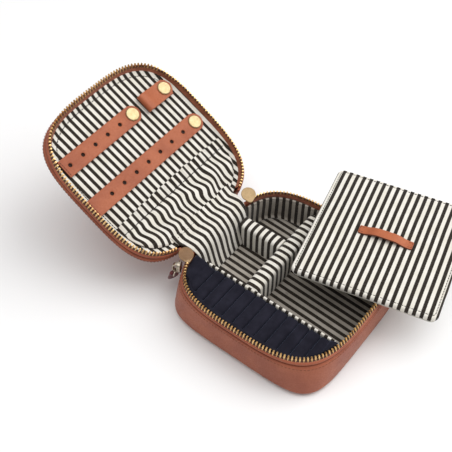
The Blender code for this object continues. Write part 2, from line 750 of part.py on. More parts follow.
def build_panel():
    frame = Matrix.Translation((PANEL_X, PANEL_Y, PANEL_Z)) @ Matrix.Rotation(PANEL_TURN, 4, "Z")
    panel = add_empty("panel_frame", frame)
    corner = 4 * MM
    board = prism(rounded_square(PANEL_SIDE - 1.6 * MM, corner, 4), 0, PANEL_BOARD)
    add_object("panel_board", mesh_from(board, "panel_board"), "board", panel)

    low = PANEL_BOARD + GAP
    top = low + PANEL_PAD
    edge = 1.4 * MM
    bm = bmesh.new()
    rings = []
    for inset, z in ((0, low), (0, top - edge), (0.4 * edge, top - 0.4 * edge), (edge, top)):
        outline = rounded_square(PANEL_SIDE - 2 * inset, corner, 4)
        rings.append([bm.verts.new((x, y, z)) for x, y in outline])
    for lower, upper in zip(rings, rings[1:]):
        for i in range(len(lower)):
            j = (i + 1) % len(lower)
            bm.faces.new((lower[i], lower[j], upper[j], upper[i]))
    bm.faces.new(list(reversed(rings[0])))
    bm.faces.new(rings[-1])
    add_object("panel_cover", mesh_from(bm, "panel_cover"), "ticking", panel)

    half = HANDLE_LENGTH / 2
    foot = top + GAP + HANDLE_THICKNESS / 2
    line = []
    for i in range(15):
        share = -1 + 2 * i / 14
        bend = min(1.0, (1 - abs(share)) / 0.42)
        lift = HANDLE_RISE * (0.5 - 0.5 * math.cos(math.pi * max(0.0, bend - 0.25) / 0.75))
        line.append((share * half, foot + lift))
    bm = extrude_along_x(thick_line(line, HANDLE_THICKNESS), -HANDLE_WIDTH / 2, HANDLE_WIDTH / 2)
    add_object("panel_handle", mesh_from(bm, "panel_handle"), "tan leather", panel)


build_base()
build_ring_tray()
build_dividers()
build_hinge()
build_slider()
build_lid()
build_panel()
bpy.context.view_layer.update()
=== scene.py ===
"""Looks of a small leather jewellery case that zips around three sides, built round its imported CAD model.

Each section makes the pieces of one area: leather shells, zips, lining, ring tray, dividers, hinge, lid
fittings and the loose panel. Cloth pieces carry a "cloth" attribute, a point's place on the flat fabric in
metres, and the striped material reads its stripes and weave from it. Lengths are metres, written as
millimetres times MM.
"""

import json
import math

import bmesh
import bpy
from mathutils import Matrix, Vector, noise


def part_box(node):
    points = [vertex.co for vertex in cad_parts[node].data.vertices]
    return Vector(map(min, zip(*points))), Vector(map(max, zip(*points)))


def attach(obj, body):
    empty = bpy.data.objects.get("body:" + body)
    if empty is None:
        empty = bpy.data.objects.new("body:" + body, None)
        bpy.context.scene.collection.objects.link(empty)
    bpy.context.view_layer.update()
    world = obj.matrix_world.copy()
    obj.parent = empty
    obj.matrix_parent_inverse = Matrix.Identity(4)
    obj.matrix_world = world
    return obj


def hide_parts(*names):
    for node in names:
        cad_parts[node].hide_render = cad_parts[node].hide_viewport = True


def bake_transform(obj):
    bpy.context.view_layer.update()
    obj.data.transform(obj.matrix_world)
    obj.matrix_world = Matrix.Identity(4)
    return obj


MM = 0.001
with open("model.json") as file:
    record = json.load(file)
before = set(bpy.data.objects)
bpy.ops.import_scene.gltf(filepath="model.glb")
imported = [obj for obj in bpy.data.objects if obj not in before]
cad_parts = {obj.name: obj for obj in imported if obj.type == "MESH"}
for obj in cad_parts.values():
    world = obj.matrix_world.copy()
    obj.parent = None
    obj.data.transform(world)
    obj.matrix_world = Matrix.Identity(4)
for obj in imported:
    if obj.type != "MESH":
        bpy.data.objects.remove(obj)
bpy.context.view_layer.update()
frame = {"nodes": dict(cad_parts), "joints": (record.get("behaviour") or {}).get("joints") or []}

JOINTS = {joint["name"]: joint for joint in frame["joints"]}
HINGE_Y, RIM_Z = JOINTS["lid_hinge"]["pos_m"][1:]
LID_SLOPE = math.pi + math.radians(JOINTS["lid_hinge"]["range_deg"][0])
HALF_X, HALF_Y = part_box("base_side_leather")[1][:2]

# Outlines, as in the CAD model: superellipses that grow squarer away from the zip
RIM_SQUARENESS = 3.3
LID_DEPTH = 12.5 * MM
BASE_SHAPE = (RIM_Z, 5.7)
LID_SHAPE = (LID_DEPTH, 4.0)
ZIP_START, ZIP_END = math.radians(119), math.radians(417)
LEATHER = 2.0 * MM
EDGE_RADIUS = 5.0 * MM

FLOOR_Z = 5.6 * MM
STRIPE = 5.0 * MM             # one cream and one charcoal stripe
TOOTH_PITCH = 2.5 * MM

ON_RIM = Matrix.Translation((0, 0, RIM_Z))
ON_HINGE = Matrix.Translation((0, HINGE_Y, RIM_Z)) @ Matrix.Rotation(LID_SLOPE, 4, "X")
ON_LID = ON_HINGE @ Matrix.Translation((0, HINGE_Y, 0))
LID_TURN = ON_HINGE.to_3x3().to_4x4()
LID_UP = ON_HINGE.to_3x3() @ Vector((0, 0, 1))
TO_LID = ON_HINGE.inverted()


# Node helpers for the materials

class Shader:
    """A material being built, with short calls for its nodes."""

    def __init__(self, name, roughness, metallic=0.0):
        self.material = bpy.data.materials.new(name)
        self.material.use_nodes = True
        self.tree = self.material.node_tree
        self.out = self.tree.nodes["Principled BSDF"]
        self.set("Roughness", roughness)
        self.set("Metallic", metallic)

    def set(self, socket, value):
        self.out.inputs[socket].default_value = value

    def node(self, kind, *links, **settings):
        made = self.tree.nodes.new(kind)
        for key, value in settings.items():
            setattr(made, key, value)
        for socket, source in enumerate(links):
            self.feed(made.inputs[socket], source)
        return made

    def feed(self, socket, source):
        if source is None:
            return
        if isinstance(source, bpy.types.NodeSocket):
            self.tree.links.new(source, socket)
        else:
            socket.default_value = source

    def math(self, operation, a, b=None, c=None):
        return self.node("ShaderNodeMath", a, b, c, operation=operation).outputs[0]

    def noise(self, place, scale, detail=3.0, roughness=0.55):
        made = self.node("ShaderNodeTexNoise", place)
        made.inputs["Scale"].default_value = scale
        made.inputs["Detail"].default_value = detail
        made.inputs["Roughness"].default_value = roughness
        return made.outputs[0]

    def ramp(self, value, low, high, to_low=0.0, to_high=1.0):
        made = self.node("ShaderNodeMapRange", value, low, high, to_low, to_high)
        made.interpolation_type = "SMOOTHSTEP"
        return made.outputs[0]

    def mix(self, share, a, b, blend="MIX"):
        made = self.tree.nodes.new("ShaderNodeMix")
        made.data_type = "RGBA"
        made.blend_type = blend
        for name, source in (("Factor_Float", share), ("A_Color", a), ("B_Color", b)):
            socket = next(s for s in made.inputs if s.identifier == name)
            if isinstance(source, tuple):
                source = (*source, 1.0)
            self.feed(socket, source)
        return next(s for s in made.outputs if s.identifier == "Result_Color")

    def bump(self, height, distance, strength=1.0, under=None):
        made = self.tree.nodes.new("ShaderNodeBump")
        made.inputs["Strength"].default_value = strength
        made.inputs["Distance"].default_value = distance
        self.feed(made.inputs["Height"], height)
        self.feed(made.inputs["Normal"], under)
        return made.outputs[0]

    def finish(self, colour, normal=None):
        if isinstance(colour, tuple):
            colour = (*colour, 1.0)
        self.feed(self.out.inputs["Base Color"], colour)
        self.feed(self.out.inputs["Normal"], normal)
        return self.material


def object_place(shader):
    return shader.node("ShaderNodeTexCoord").outputs["Object"]


def leather_material(name, light, dark, roughness=0.5):
    """Smooth tan leather: mottled dye, fine pebble grain, a few creases."""
    s = Shader(name, roughness)
    place = object_place(s)
    cloudy = s.noise(place, 55.0, 4.0)
    fine = s.noise(place, 900.0, 3.0)
    colour = s.mix(s.ramp(cloudy, 0.3, 0.7), dark, light)
    speck = s.ramp(fine, 0.35, 0.7, 0.0, 0.22)
    colour = s.mix(speck, colour, tuple(0.6 * c for c in dark))
    cells = s.node("ShaderNodeTexVoronoi", place, feature="SMOOTH_F1")
    cells.inputs["Scale"].default_value = 1300.0
    crease = s.noise(place, 240.0, 5.0, 0.62)
    pebbles = s.bump(cells.outputs["Distance"], 0.05 * MM, 0.6)
    normal = s.bump(crease, 0.16 * MM, 0.55, pebbles)
    s.feed(s.out.inputs["Roughness"], s.ramp(fine, 0.2, 0.8, roughness - 0.1, roughness + 0.12))
    s.set("Specular IOR Level", 0.3)
    return s.finish(colour, normal)


def striped_material(name, cream=(0.82, 0.785, 0.72), shade=(0.75, 0.71, 0.62)):
    """Woven ticking: equal cream and charcoal stripes along the warp, in plain weave."""
    s = Shader(name, 0.9)
    flat = s.node("ShaderNodeAttribute", attribute_name="cloth").outputs["Vector"]
    across, along, _ = s.node("ShaderNodeSeparateXYZ", flat).outputs
    wobble = s.noise(flat, 2600.0, 1.0)
    turn = s.math("MULTIPLY_ADD", across, 1.0 / STRIPE, 0.0)
    turn = s.math("MULTIPLY_ADD", wobble, 0.09, turn)
    phase = s.math("FRACT", turn)
    away = s.math("ABSOLUTE", s.math("SUBTRACT", phase, 0.5))
    light = s.ramp(away, 0.232, 0.262)
    thread = 2 * math.pi / (0.72 * MM)
    warp = s.math("SINE", s.math("MULTIPLY", across, thread))
    weft = s.math("SINE", s.math("MULTIPLY", along, thread))
    weave = s.math("MULTIPLY", warp, weft)
    patches = s.noise(flat, 90.0, 3.0)
    slub = s.noise(flat, 700.0, 2.0)
    pale = s.mix(s.ramp(patches, 0.35, 0.68), cream, shade)
    dark = s.mix(s.ramp(slub, 0.3, 0.75), (0.015, 0.0105, 0.0075), (0.038, 0.029, 0.021))
    colour = s.mix(light, dark, pale)
    # Threads darken where the weave's bump is low: painted shade between the threads.
    weave_hollow_shade = s.ramp(weave, -1.0, 1.0, 0.80, 1.0)
    colour = s.mix(1.0, colour, weave_hollow_shade, "MULTIPLY")
    normal = s.bump(weave, 0.07 * MM, 0.7)
    normal = s.bump(slub, 0.12 * MM, 0.4, normal)
    s.set("Sheen Weight", 0.12)
    s.set("Sheen Roughness", 0.5)
    s.set("Specular IOR Level", 0.2)
    return s.finish(colour, normal)


def velvet_material():
    s = Shader("navy velvet", 0.95)
    place = object_place(s)
    brushed = s.noise(place, 120.0, 4.0, 0.6)
    pile = s.noise(place, 3500.0, 2.0)
    colour = s.mix(s.ramp(brushed, 0.25, 0.8), (0.0095, 0.0092, 0.0150), (0.0180, 0.0175, 0.0275))
    normal = s.bump(pile, 0.12 * MM, 0.8)
    normal = s.bump(brushed, 0.3 * MM, 0.3, normal)
    s.set("Sheen Weight", 0.35)
    s.set("Sheen Roughness", 0.35)
    s.set("Sheen Tint", (0.35, 0.40, 0.62, 1.0))
    s.set("Specular IOR Level", 0.1)
    return s.finish(colour, normal)


def brass_material(name, colour, worn, roughness):
    """Cast brass with brushed highs and tarnish in patches."""
    s = Shader(name, roughness, 1.0)
    place = object_place(s)
    tarnish = s.noise(place, 420.0, 4.0, 0.65)
    tone = s.mix(s.ramp(tarnish, 0.42, 0.72), colour, worn)
    scratches = s.noise(place, 2400.0, 3.0)
    s.feed(s.out.inputs["Roughness"], s.ramp(scratches, 0.3, 0.7, roughness - 0.08, roughness + 0.12))
    return s.finish(tone, s.bump(scratches, 0.03 * MM, 0.5))


def tape_material(name, colour, shade):
    """Herringbone zip tape."""
    s = Shader(name, 0.85)
    place = object_place(s)
    ribs = s.node("ShaderNodeTexWave", place, wave_type="BANDS", bands_direction="DIAGONAL")
    ribs.inputs["Scale"].default_value = 260.0
    ribs.inputs["Distortion"].default_value = 1.5
    patches = s.noise(place, 200.0, 3.0)
    tone = s.mix(s.ramp(patches, 0.3, 0.7), shade, colour)
    tone = s.mix(s.ramp(ribs.outputs["Fac"], 0.0, 1.0, 0.0, 0.3), tone, tuple(0.5 * c for c in shade))
    s.set("Sheen Weight", 0.15)
    return s.finish(tone, s.bump(ribs.outputs["Fac"], 0.1 * MM, 0.8))


def plain_cloth_material(name, colour, thread=0.6 * MM):
    """Plain woven cotton in one colour, for threads, the panel's underside and the painted shadow inside the
    strap holes.
    """
    s = Shader(name, 0.9)
    place = object_place(s)
    fibres = s.noise(place, 1.0 / thread, 2.0)
    tone = s.mix(s.ramp(fibres, 0.3, 0.7), tuple(0.72 * c for c in colour), colour)
    return s.finish(tone, s.bump(fibres, 0.1 * MM, 0.7))


MATERIALS = {
    "tan": leather_material("tan leather", (0.40, 0.115, 0.048), (0.315, 0.082, 0.034)),
    "body": leather_material("body leather", (0.37, 0.108, 0.053), (0.28, 0.074, 0.037), 0.45),
    # Dark burnished leather: real on the cut edges of straps, tab and handle, and painted shadow in the recess
    # under each binding.
    "edge": leather_material("burnished edge and painted seam shadow", (0.17, 0.050, 0.026), (0.10, 0.030, 0.017), 0.4),
    "disc": leather_material("pale disc leather", (0.50, 0.345, 0.175), (0.38, 0.255, 0.125), 0.6),
    # The left end tab's copy of the disc leather, darkened: painted shade near the hinge.
    "disc in painted shade": leather_material("disc leather in painted shade", (0.30, 0.160, 0.072), (0.20, 0.108, 0.050), 0.55),
    "disc edge": leather_material("disc edge", (0.52, 0.36, 0.19), (0.36, 0.23, 0.12), 0.55),
    "pull": leather_material("pull leather", (0.17, 0.030, 0.032), (0.10, 0.018, 0.020), 0.42),
    "striped": striped_material("striped ticking"),
    # The base's lining is the ticking at about half its brightness: painted shade inside the deep base.
    "inner striped": striped_material("ticking darkened for painted shade", (0.44, 0.40, 0.35), (0.37, 0.33, 0.28)),
    "velvet": velvet_material(),
    "teeth": brass_material("antique brass", (0.74, 0.50, 0.23), (0.34, 0.18, 0.07), 0.28),
    "slider": brass_material("worn pale brass", (0.56, 0.50, 0.41), (0.26, 0.21, 0.15), 0.3),
    "cap": brass_material("pale brass", (0.55, 0.445, 0.255), (0.46, 0.35, 0.175), 0.5),
    # A darker brass for the rolled rim of each snap cap.
    "cap rim": brass_material("darker rim brass", (0.30, 0.19, 0.08), (0.16, 0.09, 0.04), 0.4),
    "tape": tape_material("zip tape", (0.33, 0.100, 0.045), (0.22, 0.064, 0.030)),
    # Near black: painted shade in the gaps between the zip teeth.
    "tape bead": tape_material("zip tape cord in painted shade", (0.10, 0.035, 0.020), (0.06, 0.020, 0.012)),
    "thread": plain_cloth_material("dark thread", (0.022, 0.016, 0.013), 0.2 * MM),
    "tan thread": plain_cloth_material("tan thread", (0.20, 0.07, 0.035), 0.2 * MM),
    "elastic": plain_cloth_material("elastic", (0.62, 0.60, 0.54)),
    # Near black: painted shadow seen down the strap holes.
    "hole": plain_cloth_material("painted hole shadow", (0.035, 0.014, 0.009)),
    "handle": leather_material("handle leather", (0.43, 0.122, 0.047), (0.33, 0.086, 0.033)),
}


# Mesh helpers

def new_object(name, mesh, material, body, slot, *nodes, smooth=50):
    """A finished piece: it rides on a body and stands for CAD nodes."""
    piece = bpy.data.objects.new(name, mesh)
    bpy.context.scene.collection.objects.link(piece)
    mesh.materials.clear()
    names = material if isinstance(material, tuple) else (material,)
    for each in names:
        mesh.materials.append(MATERIALS[each])
    mesh.shade_smooth()
    mesh.set_sharp_from_angle(angle=math.radians(smooth))
    if body:
        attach(piece, body)
    if nodes:
        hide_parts(*nodes)
    return piece


def mesh_from(bm, name):
    bmesh.ops.recalc_face_normals(bm, faces=bm.faces)
    mesh = bpy.data.meshes.new(name)
    bm.to_mesh(mesh)
    bm.free()
    return mesh


def grid(name, rows, cloth=None, around=False, ring=False, caps=False):
    """Mesh through rows of points. Rows can close around, and each row can be a ring with capped ends.

    cloth(i, j) gives a point's (across, along) on the flat fabric. It is asked past the last row or point
    too, so that a closed mesh has no jump in its stripes.
    """
    bm = bmesh.new()
    layer = bm.loops.layers.float_vector.new("cloth")
    points = [[bm.verts.new(p) for p in row] for row in rows]
    down, wide = len(rows), len(rows[0])

    def face(corners):
        made = bm.faces.new([points[i % down][j % wide] for i, j in corners])
        if cloth:
            for loop, (i, j) in zip(made.loops, corners):
                loop[layer] = (*cloth(i, j), 0.0)

    for i in range(down if around else down - 1):
        for j in range(wide if ring else wide - 1):
            face([(i, j), (i + 1, j), (i + 1, j + 1), (i, j + 1)])
    if caps:
        face([(0, j) for j in range(wide)])
        face([(down - 1, j) for j in reversed(range(wide))])
    return mesh_from(bm, name)


def bridge(bm, rings):
    """Joins each closed ring of points to the next."""
    for low, high in zip(rings, rings[1:]):
        for i in range(len(low)):
            j = (i + 1) % len(low)
            bm.faces.new((low[i], low[j], high[j], high[i]))


def strip(bm, rows):
    """Joins each open row of points to the next."""
    for low, high in zip(rows, rows[1:]):
        for k in range(len(low) - 1):
            bm.faces.new((low[k], high[k], high[k + 1], low[k + 1]))


def boxy(value, power):
    """A sine or cosine raised to a power with its sign kept: below 1 it squares a circle."""
    return math.copysign(abs(value) ** power, value)


def run_lengths(path):
    """Distance along a path at each of its points."""
    runs = [0.0]
    for before, after in zip(path, path[1:]):
        runs.append(runs[-1] + (after - before).length)
    return runs


def superellipse(angle, inset, power):
    half_x = HALF_X - inset
    half_y = HALF_Y - inset
    cosine = abs(math.cos(angle)) / half_x
    sine = abs(math.sin(angle)) / half_y
    reach = (cosine ** power + sine ** power) ** (-1 / power)
    return Vector((reach * math.cos(angle), reach * math.sin(angle), 0))


def outline_point(angle, inset, depth, shape):
    full_depth, outer_power = shape
    share = min(max(depth / full_depth, 0.0), 1.0)
    at_rim = superellipse(angle, inset, RIM_SQUARENESS)
    at_face = superellipse(angle, inset, outer_power)
    point = at_rim.lerp(at_face, share)
    point.z = -depth
    return point


def outward_at(angle, inset, depth, shape):
    """Direction straight out of an outline."""
    ahead = outline_point(angle + 0.01, inset, depth, shape)
    behind = outline_point(angle - 0.01, inset, depth, shape)
    along = (ahead - behind).normalized()
    return Vector((along.y, -along.x, 0))


def stations(start, end, count, inset=0.0, depth=0.0, shape=BASE_SHAPE):
    """Angles at equal steps along an outline, and the length of the whole run."""
    fine = 1440
    angles = [start + (end - start) * i / fine for i in range(fine + 1)]
    points = [outline_point(a, inset, depth, shape) for a in angles]
    runs = run_lengths(points)
    length = runs[-1]
    chosen = []
    k = 0
    for i in range(count + 1):
        target = length * i / count
        while k < fine - 1 and runs[k + 1] < target:
            k += 1
        share = (target - runs[k]) / (runs[k + 1] - runs[k])
        chosen.append(angles[k] + (angles[k + 1] - angles[k]) * share)
    return chosen, length


def profile_runs(profile):
    runs = [0.0]
    for before, after in zip(profile, profile[1:] + profile[:1]):
        runs.append(runs[-1] + math.dist(before, after))
    return runs


def sweep(name, profile, shape, place, start=0.0, end=2 * math.pi, step=1.6 * MM, ring=True, wave=None):
    """Carries (inset, depth) points round the outline. The fabric runs along the outline."""
    full = abs(end - start - 2 * math.pi) < 1e-6
    inset, depth = profile[0]
    _, length = stations(start, end, 8, inset, depth, shape)
    count = max(8, round(length / step))
    angles, length = stations(start, end, count, inset, depth, shape)
    if full:
        length = round(length / STRIPE) * STRIPE
    rows = []
    for i, angle in enumerate(angles[:-1] if full else angles):
        row = []
        for j, (inset, depth) in enumerate(profile):
            push = wave(length * i / count, inset, depth) if wave else 0.0
            row.append(place @ outline_point(angle, inset + push, depth, shape))
        rows.append(row)
    runs = profile_runs(profile)

    def cloth(i, j):
        return length * i / count, runs[j]

    return grid(name, rows, cloth, around=full, ring=ring, caps=ring and not full)


def arc(centre, radius, start, end, steps):
    points = []
    for i in range(steps + 1):
        angle = math.radians(start + (end - start) * i / steps)
        points.append((centre[0] + radius * math.cos(angle), centre[1] + radius * math.sin(angle)))
    return points


def curve_through(points, steps):
    """Catmull-Rom curve through points, the same number of steps for each stretch."""
    points = [Vector(p) for p in points]
    padded = [2 * points[0] - points[1]] + points + [2 * points[-1] - points[-2]]
    made = []
    for k in range(1, len(padded) - 2):
        a, b, c, d = padded[k - 1:k + 3]
        for i in range(steps):
            t = i / steps
            made.append(0.5 * (2 * b + (c - a) * t + (2 * a - 5 * b + 4 * c - d) * t * t
                               + (3 * b - a - 3 * c + d) * t ** 3))
    made.append(points[-1])
    return made


def lathe(name, profile, segments=40):
    """Solid turned about Z from (radius, height) points that start and end on the axis."""
    bm = bmesh.new()
    bottom = bm.verts.new((0, 0, profile[0][1]))
    top = bm.verts.new((0, 0, profile[-1][1]))
    rings = []
    for radius, height in profile[1:-1]:
        ring = []
        for i in range(segments):
            angle = 2 * math.pi * i / segments
            ring.append(bm.verts.new((radius * math.cos(angle), radius * math.sin(angle), height)))
        rings.append(ring)
    for i in range(segments):
        j = (i + 1) % segments
        bm.faces.new((bottom, rings[0][j], rings[0][i]))
        bm.faces.new((top, rings[-1][i], rings[-1][j]))
        for low, high in zip(rings, rings[1:]):
            bm.faces.new((low[i], low[j], high[j], high[i]))
    return mesh_from(bm, name)


def frame_at(origin, forward, up):
    """Matrix with local X along forward and local Z as near to up as it can be."""
    x = Vector(forward).normalized()
    y = Vector(up).cross(x).normalized()
    z = x.cross(y)
    matrix = Matrix((x, y, z)).transposed().to_4x4()
    matrix.translation = origin
    return matrix


def repeat(name, pattern, places):
    """One mesh with a copy of a pattern mesh at each place."""
    bm = bmesh.new()
    for place in places:
        before = len(bm.verts)
        bm.from_mesh(pattern)
        bm.verts.ensure_lookup_table()
        for vertex in bm.verts[before:]:
            vertex.co = place @ vertex.co
    bpy.data.meshes.remove(pattern)
    return mesh_from(bm, name)


def capsule(length, radius, sides=6):
    """A stitch: a short thread that dips at both ends, along X."""
    stops = [(-0.5, 0.0, -0.9), (-0.44, 0.75, -0.3), (-0.2, 1.0, 0.2)]
    stops += [(0.2, 1.0, 0.2), (0.44, 0.75, -0.3), (0.5, 0.0, -0.9)]
    bm = bmesh.new()
    tips = [bm.verts.new((x * length, 0, z * radius)) for x, _, z in (stops[0], stops[-1])]
    rings = []
    for x, wide, z in stops[1:-1]:
        ring = []
        for i in range(sides):
            angle = 2 * math.pi * i / sides
            ring.append(bm.verts.new((
                x * length,
                radius * wide * math.cos(angle),
                radius * (wide * math.sin(angle) + z),
            )))
        rings.append(ring)
    for i in range(sides):
        j = (i + 1) % sides
        bm.faces.new((tips[0], rings[0][i], rings[0][j]))
        bm.faces.new((tips[1], rings[-1][j], rings[-1][i]))
        for low, high in zip(rings, rings[1:]):
            bm.faces.new((low[i], high[i], high[j], low[j]))
    return mesh_from(bm, "stitch")


def stitches(name, path, ups, body, slot, material="thread", pitch=2.6 * MM, share=0.72, radius=0.2 * MM):
    """A row of stitches along a path. ups gives the surface's normal at each point."""
    path = [Vector(p) for p in path]
    runs = run_lengths(path)
    count = max(1, round(runs[-1] / pitch))
    pitch = runs[-1] / count
    places = []
    k = 0
    for i in range(count):
        middle = (i + 0.5) * pitch
        while k < len(path) - 2 and runs[k + 1] < middle:
            k += 1
        part = (middle - runs[k]) / max(runs[k + 1] - runs[k], 1e-9)
        point = path[k].lerp(path[k + 1], part)
        places.append(frame_at(point, path[k + 1] - path[k], ups[k]))
    mesh = repeat(name, capsule(pitch * share, radius), places)
    return new_object(name, mesh, material, body, slot)


def thicken(piece, thickness, offset=-1.0):
    solid = piece.modifiers.new("thickness", "SOLIDIFY")
    solid.thickness = thickness
    solid.offset = offset
    return piece


def settle(piece):
    """Turns a piece's modifiers into mesh."""
    graph = bpy.context.evaluated_depsgraph_get()
    mesh = bpy.data.meshes.new_from_object(piece.evaluated_get(graph))
    piece.modifiers.clear()
    piece.data = mesh


def face_up(mesh):
    """Turns an open sheet so that its faces look along +Z."""
    if sum(polygon.normal.z for polygon in mesh.polygons) < 0:
        mesh.flip_normals()


def ripple(x, y, z, scale, seed=0.0):
    """Smooth noise from -1 to 1, the same on every run."""
    return noise.noise(Vector((x / scale + seed, y / scale - seed, z / scale + 2 * seed)))


def from_lid(node):
    """Lowest and highest corner of a CAD node in the lid's frame: along the hinge, away from it, and up."""
    points = [TO_LID @ v.co for v in frame["nodes"][node].data.vertices]
    low = Vector([min(p[k] for p in points) for k in range(3)])
    high = Vector([max(p[k] for p in points) for k in range(3)])
    return low, high


def half_width_at(y, inset, depth, shape):
    low, high = 0.0, math.pi / 2
    for _ in range(24):
        middle = (low + high) / 2
        if outline_point(middle, inset, depth, shape).y < abs(y):
            low = middle
        else:
            high = middle
    return outline_point(low, inset, depth, shape).x


# Leather shells

def mm(*pairs):
    return [(a * MM, b * MM) for a, b in pairs]


def shell_profile(full_depth, sides):
    """Side leather: a turned-in top edge, a slightly full side and a rounded lower edge."""
    centre = (EDGE_RADIUS, full_depth - EDGE_RADIUS)
    outer = mm((1.7, 6.5), (0.85, 6.45), (0.3, 6.8), (0.05, 7.5)) + sides
    outer += arc(centre, EDGE_RADIUS, 180, 90, 9)
    inner = arc(centre, EDGE_RADIUS - LEATHER, 90, 180, 5)
    return outer + inner + [(LEATHER, 7.2 * MM)]


def build_shells():
    sides = mm((-0.15, 9), (-0.3, 13), (-0.32, 18), (-0.2, 23))
    mesh = sweep("base_shell", shell_profile(RIM_Z, sides), BASE_SHAPE, ON_RIM)
    new_object("base_shell", mesh, "body", "base", "tan_leather", "base_side_leather")
    mesh = sweep("lid_shell", shell_profile(LID_DEPTH, []), LID_SHAPE, ON_LID)
    new_object("lid_shell", mesh, "body", "lid", "tan_leather", "lid_side_leather")

    binding = mm((2.0, 3.3), (1.7, 2.95), (1.1, 2.8), (0.5, 3.05), (0.2, 3.7))
    binding += mm((0.2, 4.4), (0.45, 4.95), (1.1, 5.2), (2.0, 5.2))
    # A narrow recess under each binding, lined with the dark edge leather: painted shadow along the seam.
    seam_shadow_band = mm((1.35, 5.0), (1.2, 5.8), (1.35, 6.7), (2.0, 6.7), (2.0, 5.0))
    over = math.radians(2)
    for side, shape, place in (("base", BASE_SHAPE, ON_RIM), ("lid", LID_SHAPE, ON_LID)):
        mesh = sweep(side + "_seam", seam_shadow_band, shape, place)
        new_object(side + "_seam", mesh, "edge", side, "tan_leather")
    mesh = sweep("base_binding", binding, BASE_SHAPE, ON_RIM)
    new_object("base_binding", mesh, "body", "base", "tan_leather")
    mesh = sweep("lid_binding", binding, LID_SHAPE, ON_LID, -ZIP_END - over, -ZIP_START + over)
    new_object("lid_binding", mesh, "body", "lid", "tan_leather")

    for side, shape, place, node in (
        ("base", BASE_SHAPE, ON_RIM, "base_bottom_leather"),
        ("lid", LID_SHAPE, ON_LID, "lid_top_leather"),
    ):
        name = side + "_outer_face"
        mesh = face_plate(name, shape, place)
        new_object(name, mesh, "body", side, "tan_leather", node)
        stitch_outline(side + "_side_stitches", shape, place, -0.1 * MM, 8.4 * MM, side, "tan thread")


def face_plate(name, shape, place):
    """Outer face leather inside the rounded edge, with a shallow seam round it."""
    depth = shape[0]
    profile = [
        (EDGE_RADIUS + 0.1 * MM, depth - LEATHER),
        (EDGE_RADIUS + 0.1 * MM, depth - 0.35 * MM),
        (EDGE_RADIUS + 0.5 * MM, depth),
        (EDGE_RADIUS + 8 * MM, depth),
        (EDGE_RADIUS + 25 * MM, depth),
        (EDGE_RADIUS + 45 * MM, depth),
        (EDGE_RADIUS + 45 * MM, depth - LEATHER),
        (EDGE_RADIUS + 20 * MM, depth - LEATHER),
    ]
    bm = bmesh.new()
    count = 120
    rings = []
    for inset, at in profile:
        ring = []
        for i in range(count):
            point = outline_point(2 * math.pi * i / count, inset, at, shape)
            ring.append(bm.verts.new(place @ point))
        rings.append(ring)
    bridge(bm, rings[:6])
    bridge(bm, rings[6:] + rings[:1])
    bm.faces.new(rings[5])
    bm.faces.new(list(reversed(rings[6])))
    return mesh_from(bm, name)


def outline_path(inset, depth, shape, place, start=0.0, end=2 * math.pi, count=360):
    angles, _ = stations(start, end, count, inset, depth, shape)
    points, outward = [], []
    for angle in angles:
        points.append(place @ outline_point(angle, inset, depth, shape))
        outward.append(place.to_3x3() @ outward_at(angle, inset, depth, shape))
    return points, outward


def stitch_outline(name, shape, place, inset, depth, body, material):
    path, outward = outline_path(inset, depth, shape, place)
    return stitches(name, path, outward, body, "tan_leather", material, 2.4 * MM, 0.7, 0.17 * MM)


# Zips

def tooth_mesh():
    """One zip element along X: two clamped legs, a broader head and its nub."""
    bm = bmesh.new()
    bmesh.ops.create_cube(bm, size=1)
    bm.transform(Matrix.Diagonal((3.7 * MM, 1.12 * MM, 2.0 * MM, 1)))
    for vertex in bm.verts:
        if vertex.co.x > 0:
            vertex.co.z *= 0.72
    bmesh.ops.bevel(bm, geom=bm.edges[:], offset=0.32 * MM, segments=2, affect="EDGES")
    nub = bmesh.new()
    bmesh.ops.create_cone(nub, cap_ends=True, segments=8, radius1=0.5 * MM, radius2=0.25 * MM, depth=0.4 * MM)
    nub.transform(Matrix.Translation((0.75 * MM, 0, 0.72 * MM)))
    part = mesh_from(nub, "nub")
    bm.from_mesh(part)
    bpy.data.meshes.remove(part)
    return mesh_from(bm, "tooth")


TOOTH_REACH = 1.35 * MM         # from the edge of the tape to the middle of a tooth

# Each tape from its sewn edge to its teeth, as insets and depths: upright in the base, sloping in the lid
ZIP_TAPE = {
    "base": mm((2.55, 8.4), (2.5, 6.5), (2.35, 5.0), (2.1, 3.6), (1.75, 2.75)),
    "lid": mm((4.2, 6.35), (3.7, 5.85), (3.05, 5.0), (2.5, 4.0), (2.1, 3.3), (1.75, 2.75)),
}


def tooth_lean(side, outward):
    """How far a tooth leans outward. The far edge of the open lid flops out, and the other teeth turn in."""
    far = max(0.0, outward.y) ** 2 if side == "lid" else 0.0
    return 0.62 * far - 0.27 * (1 - far)


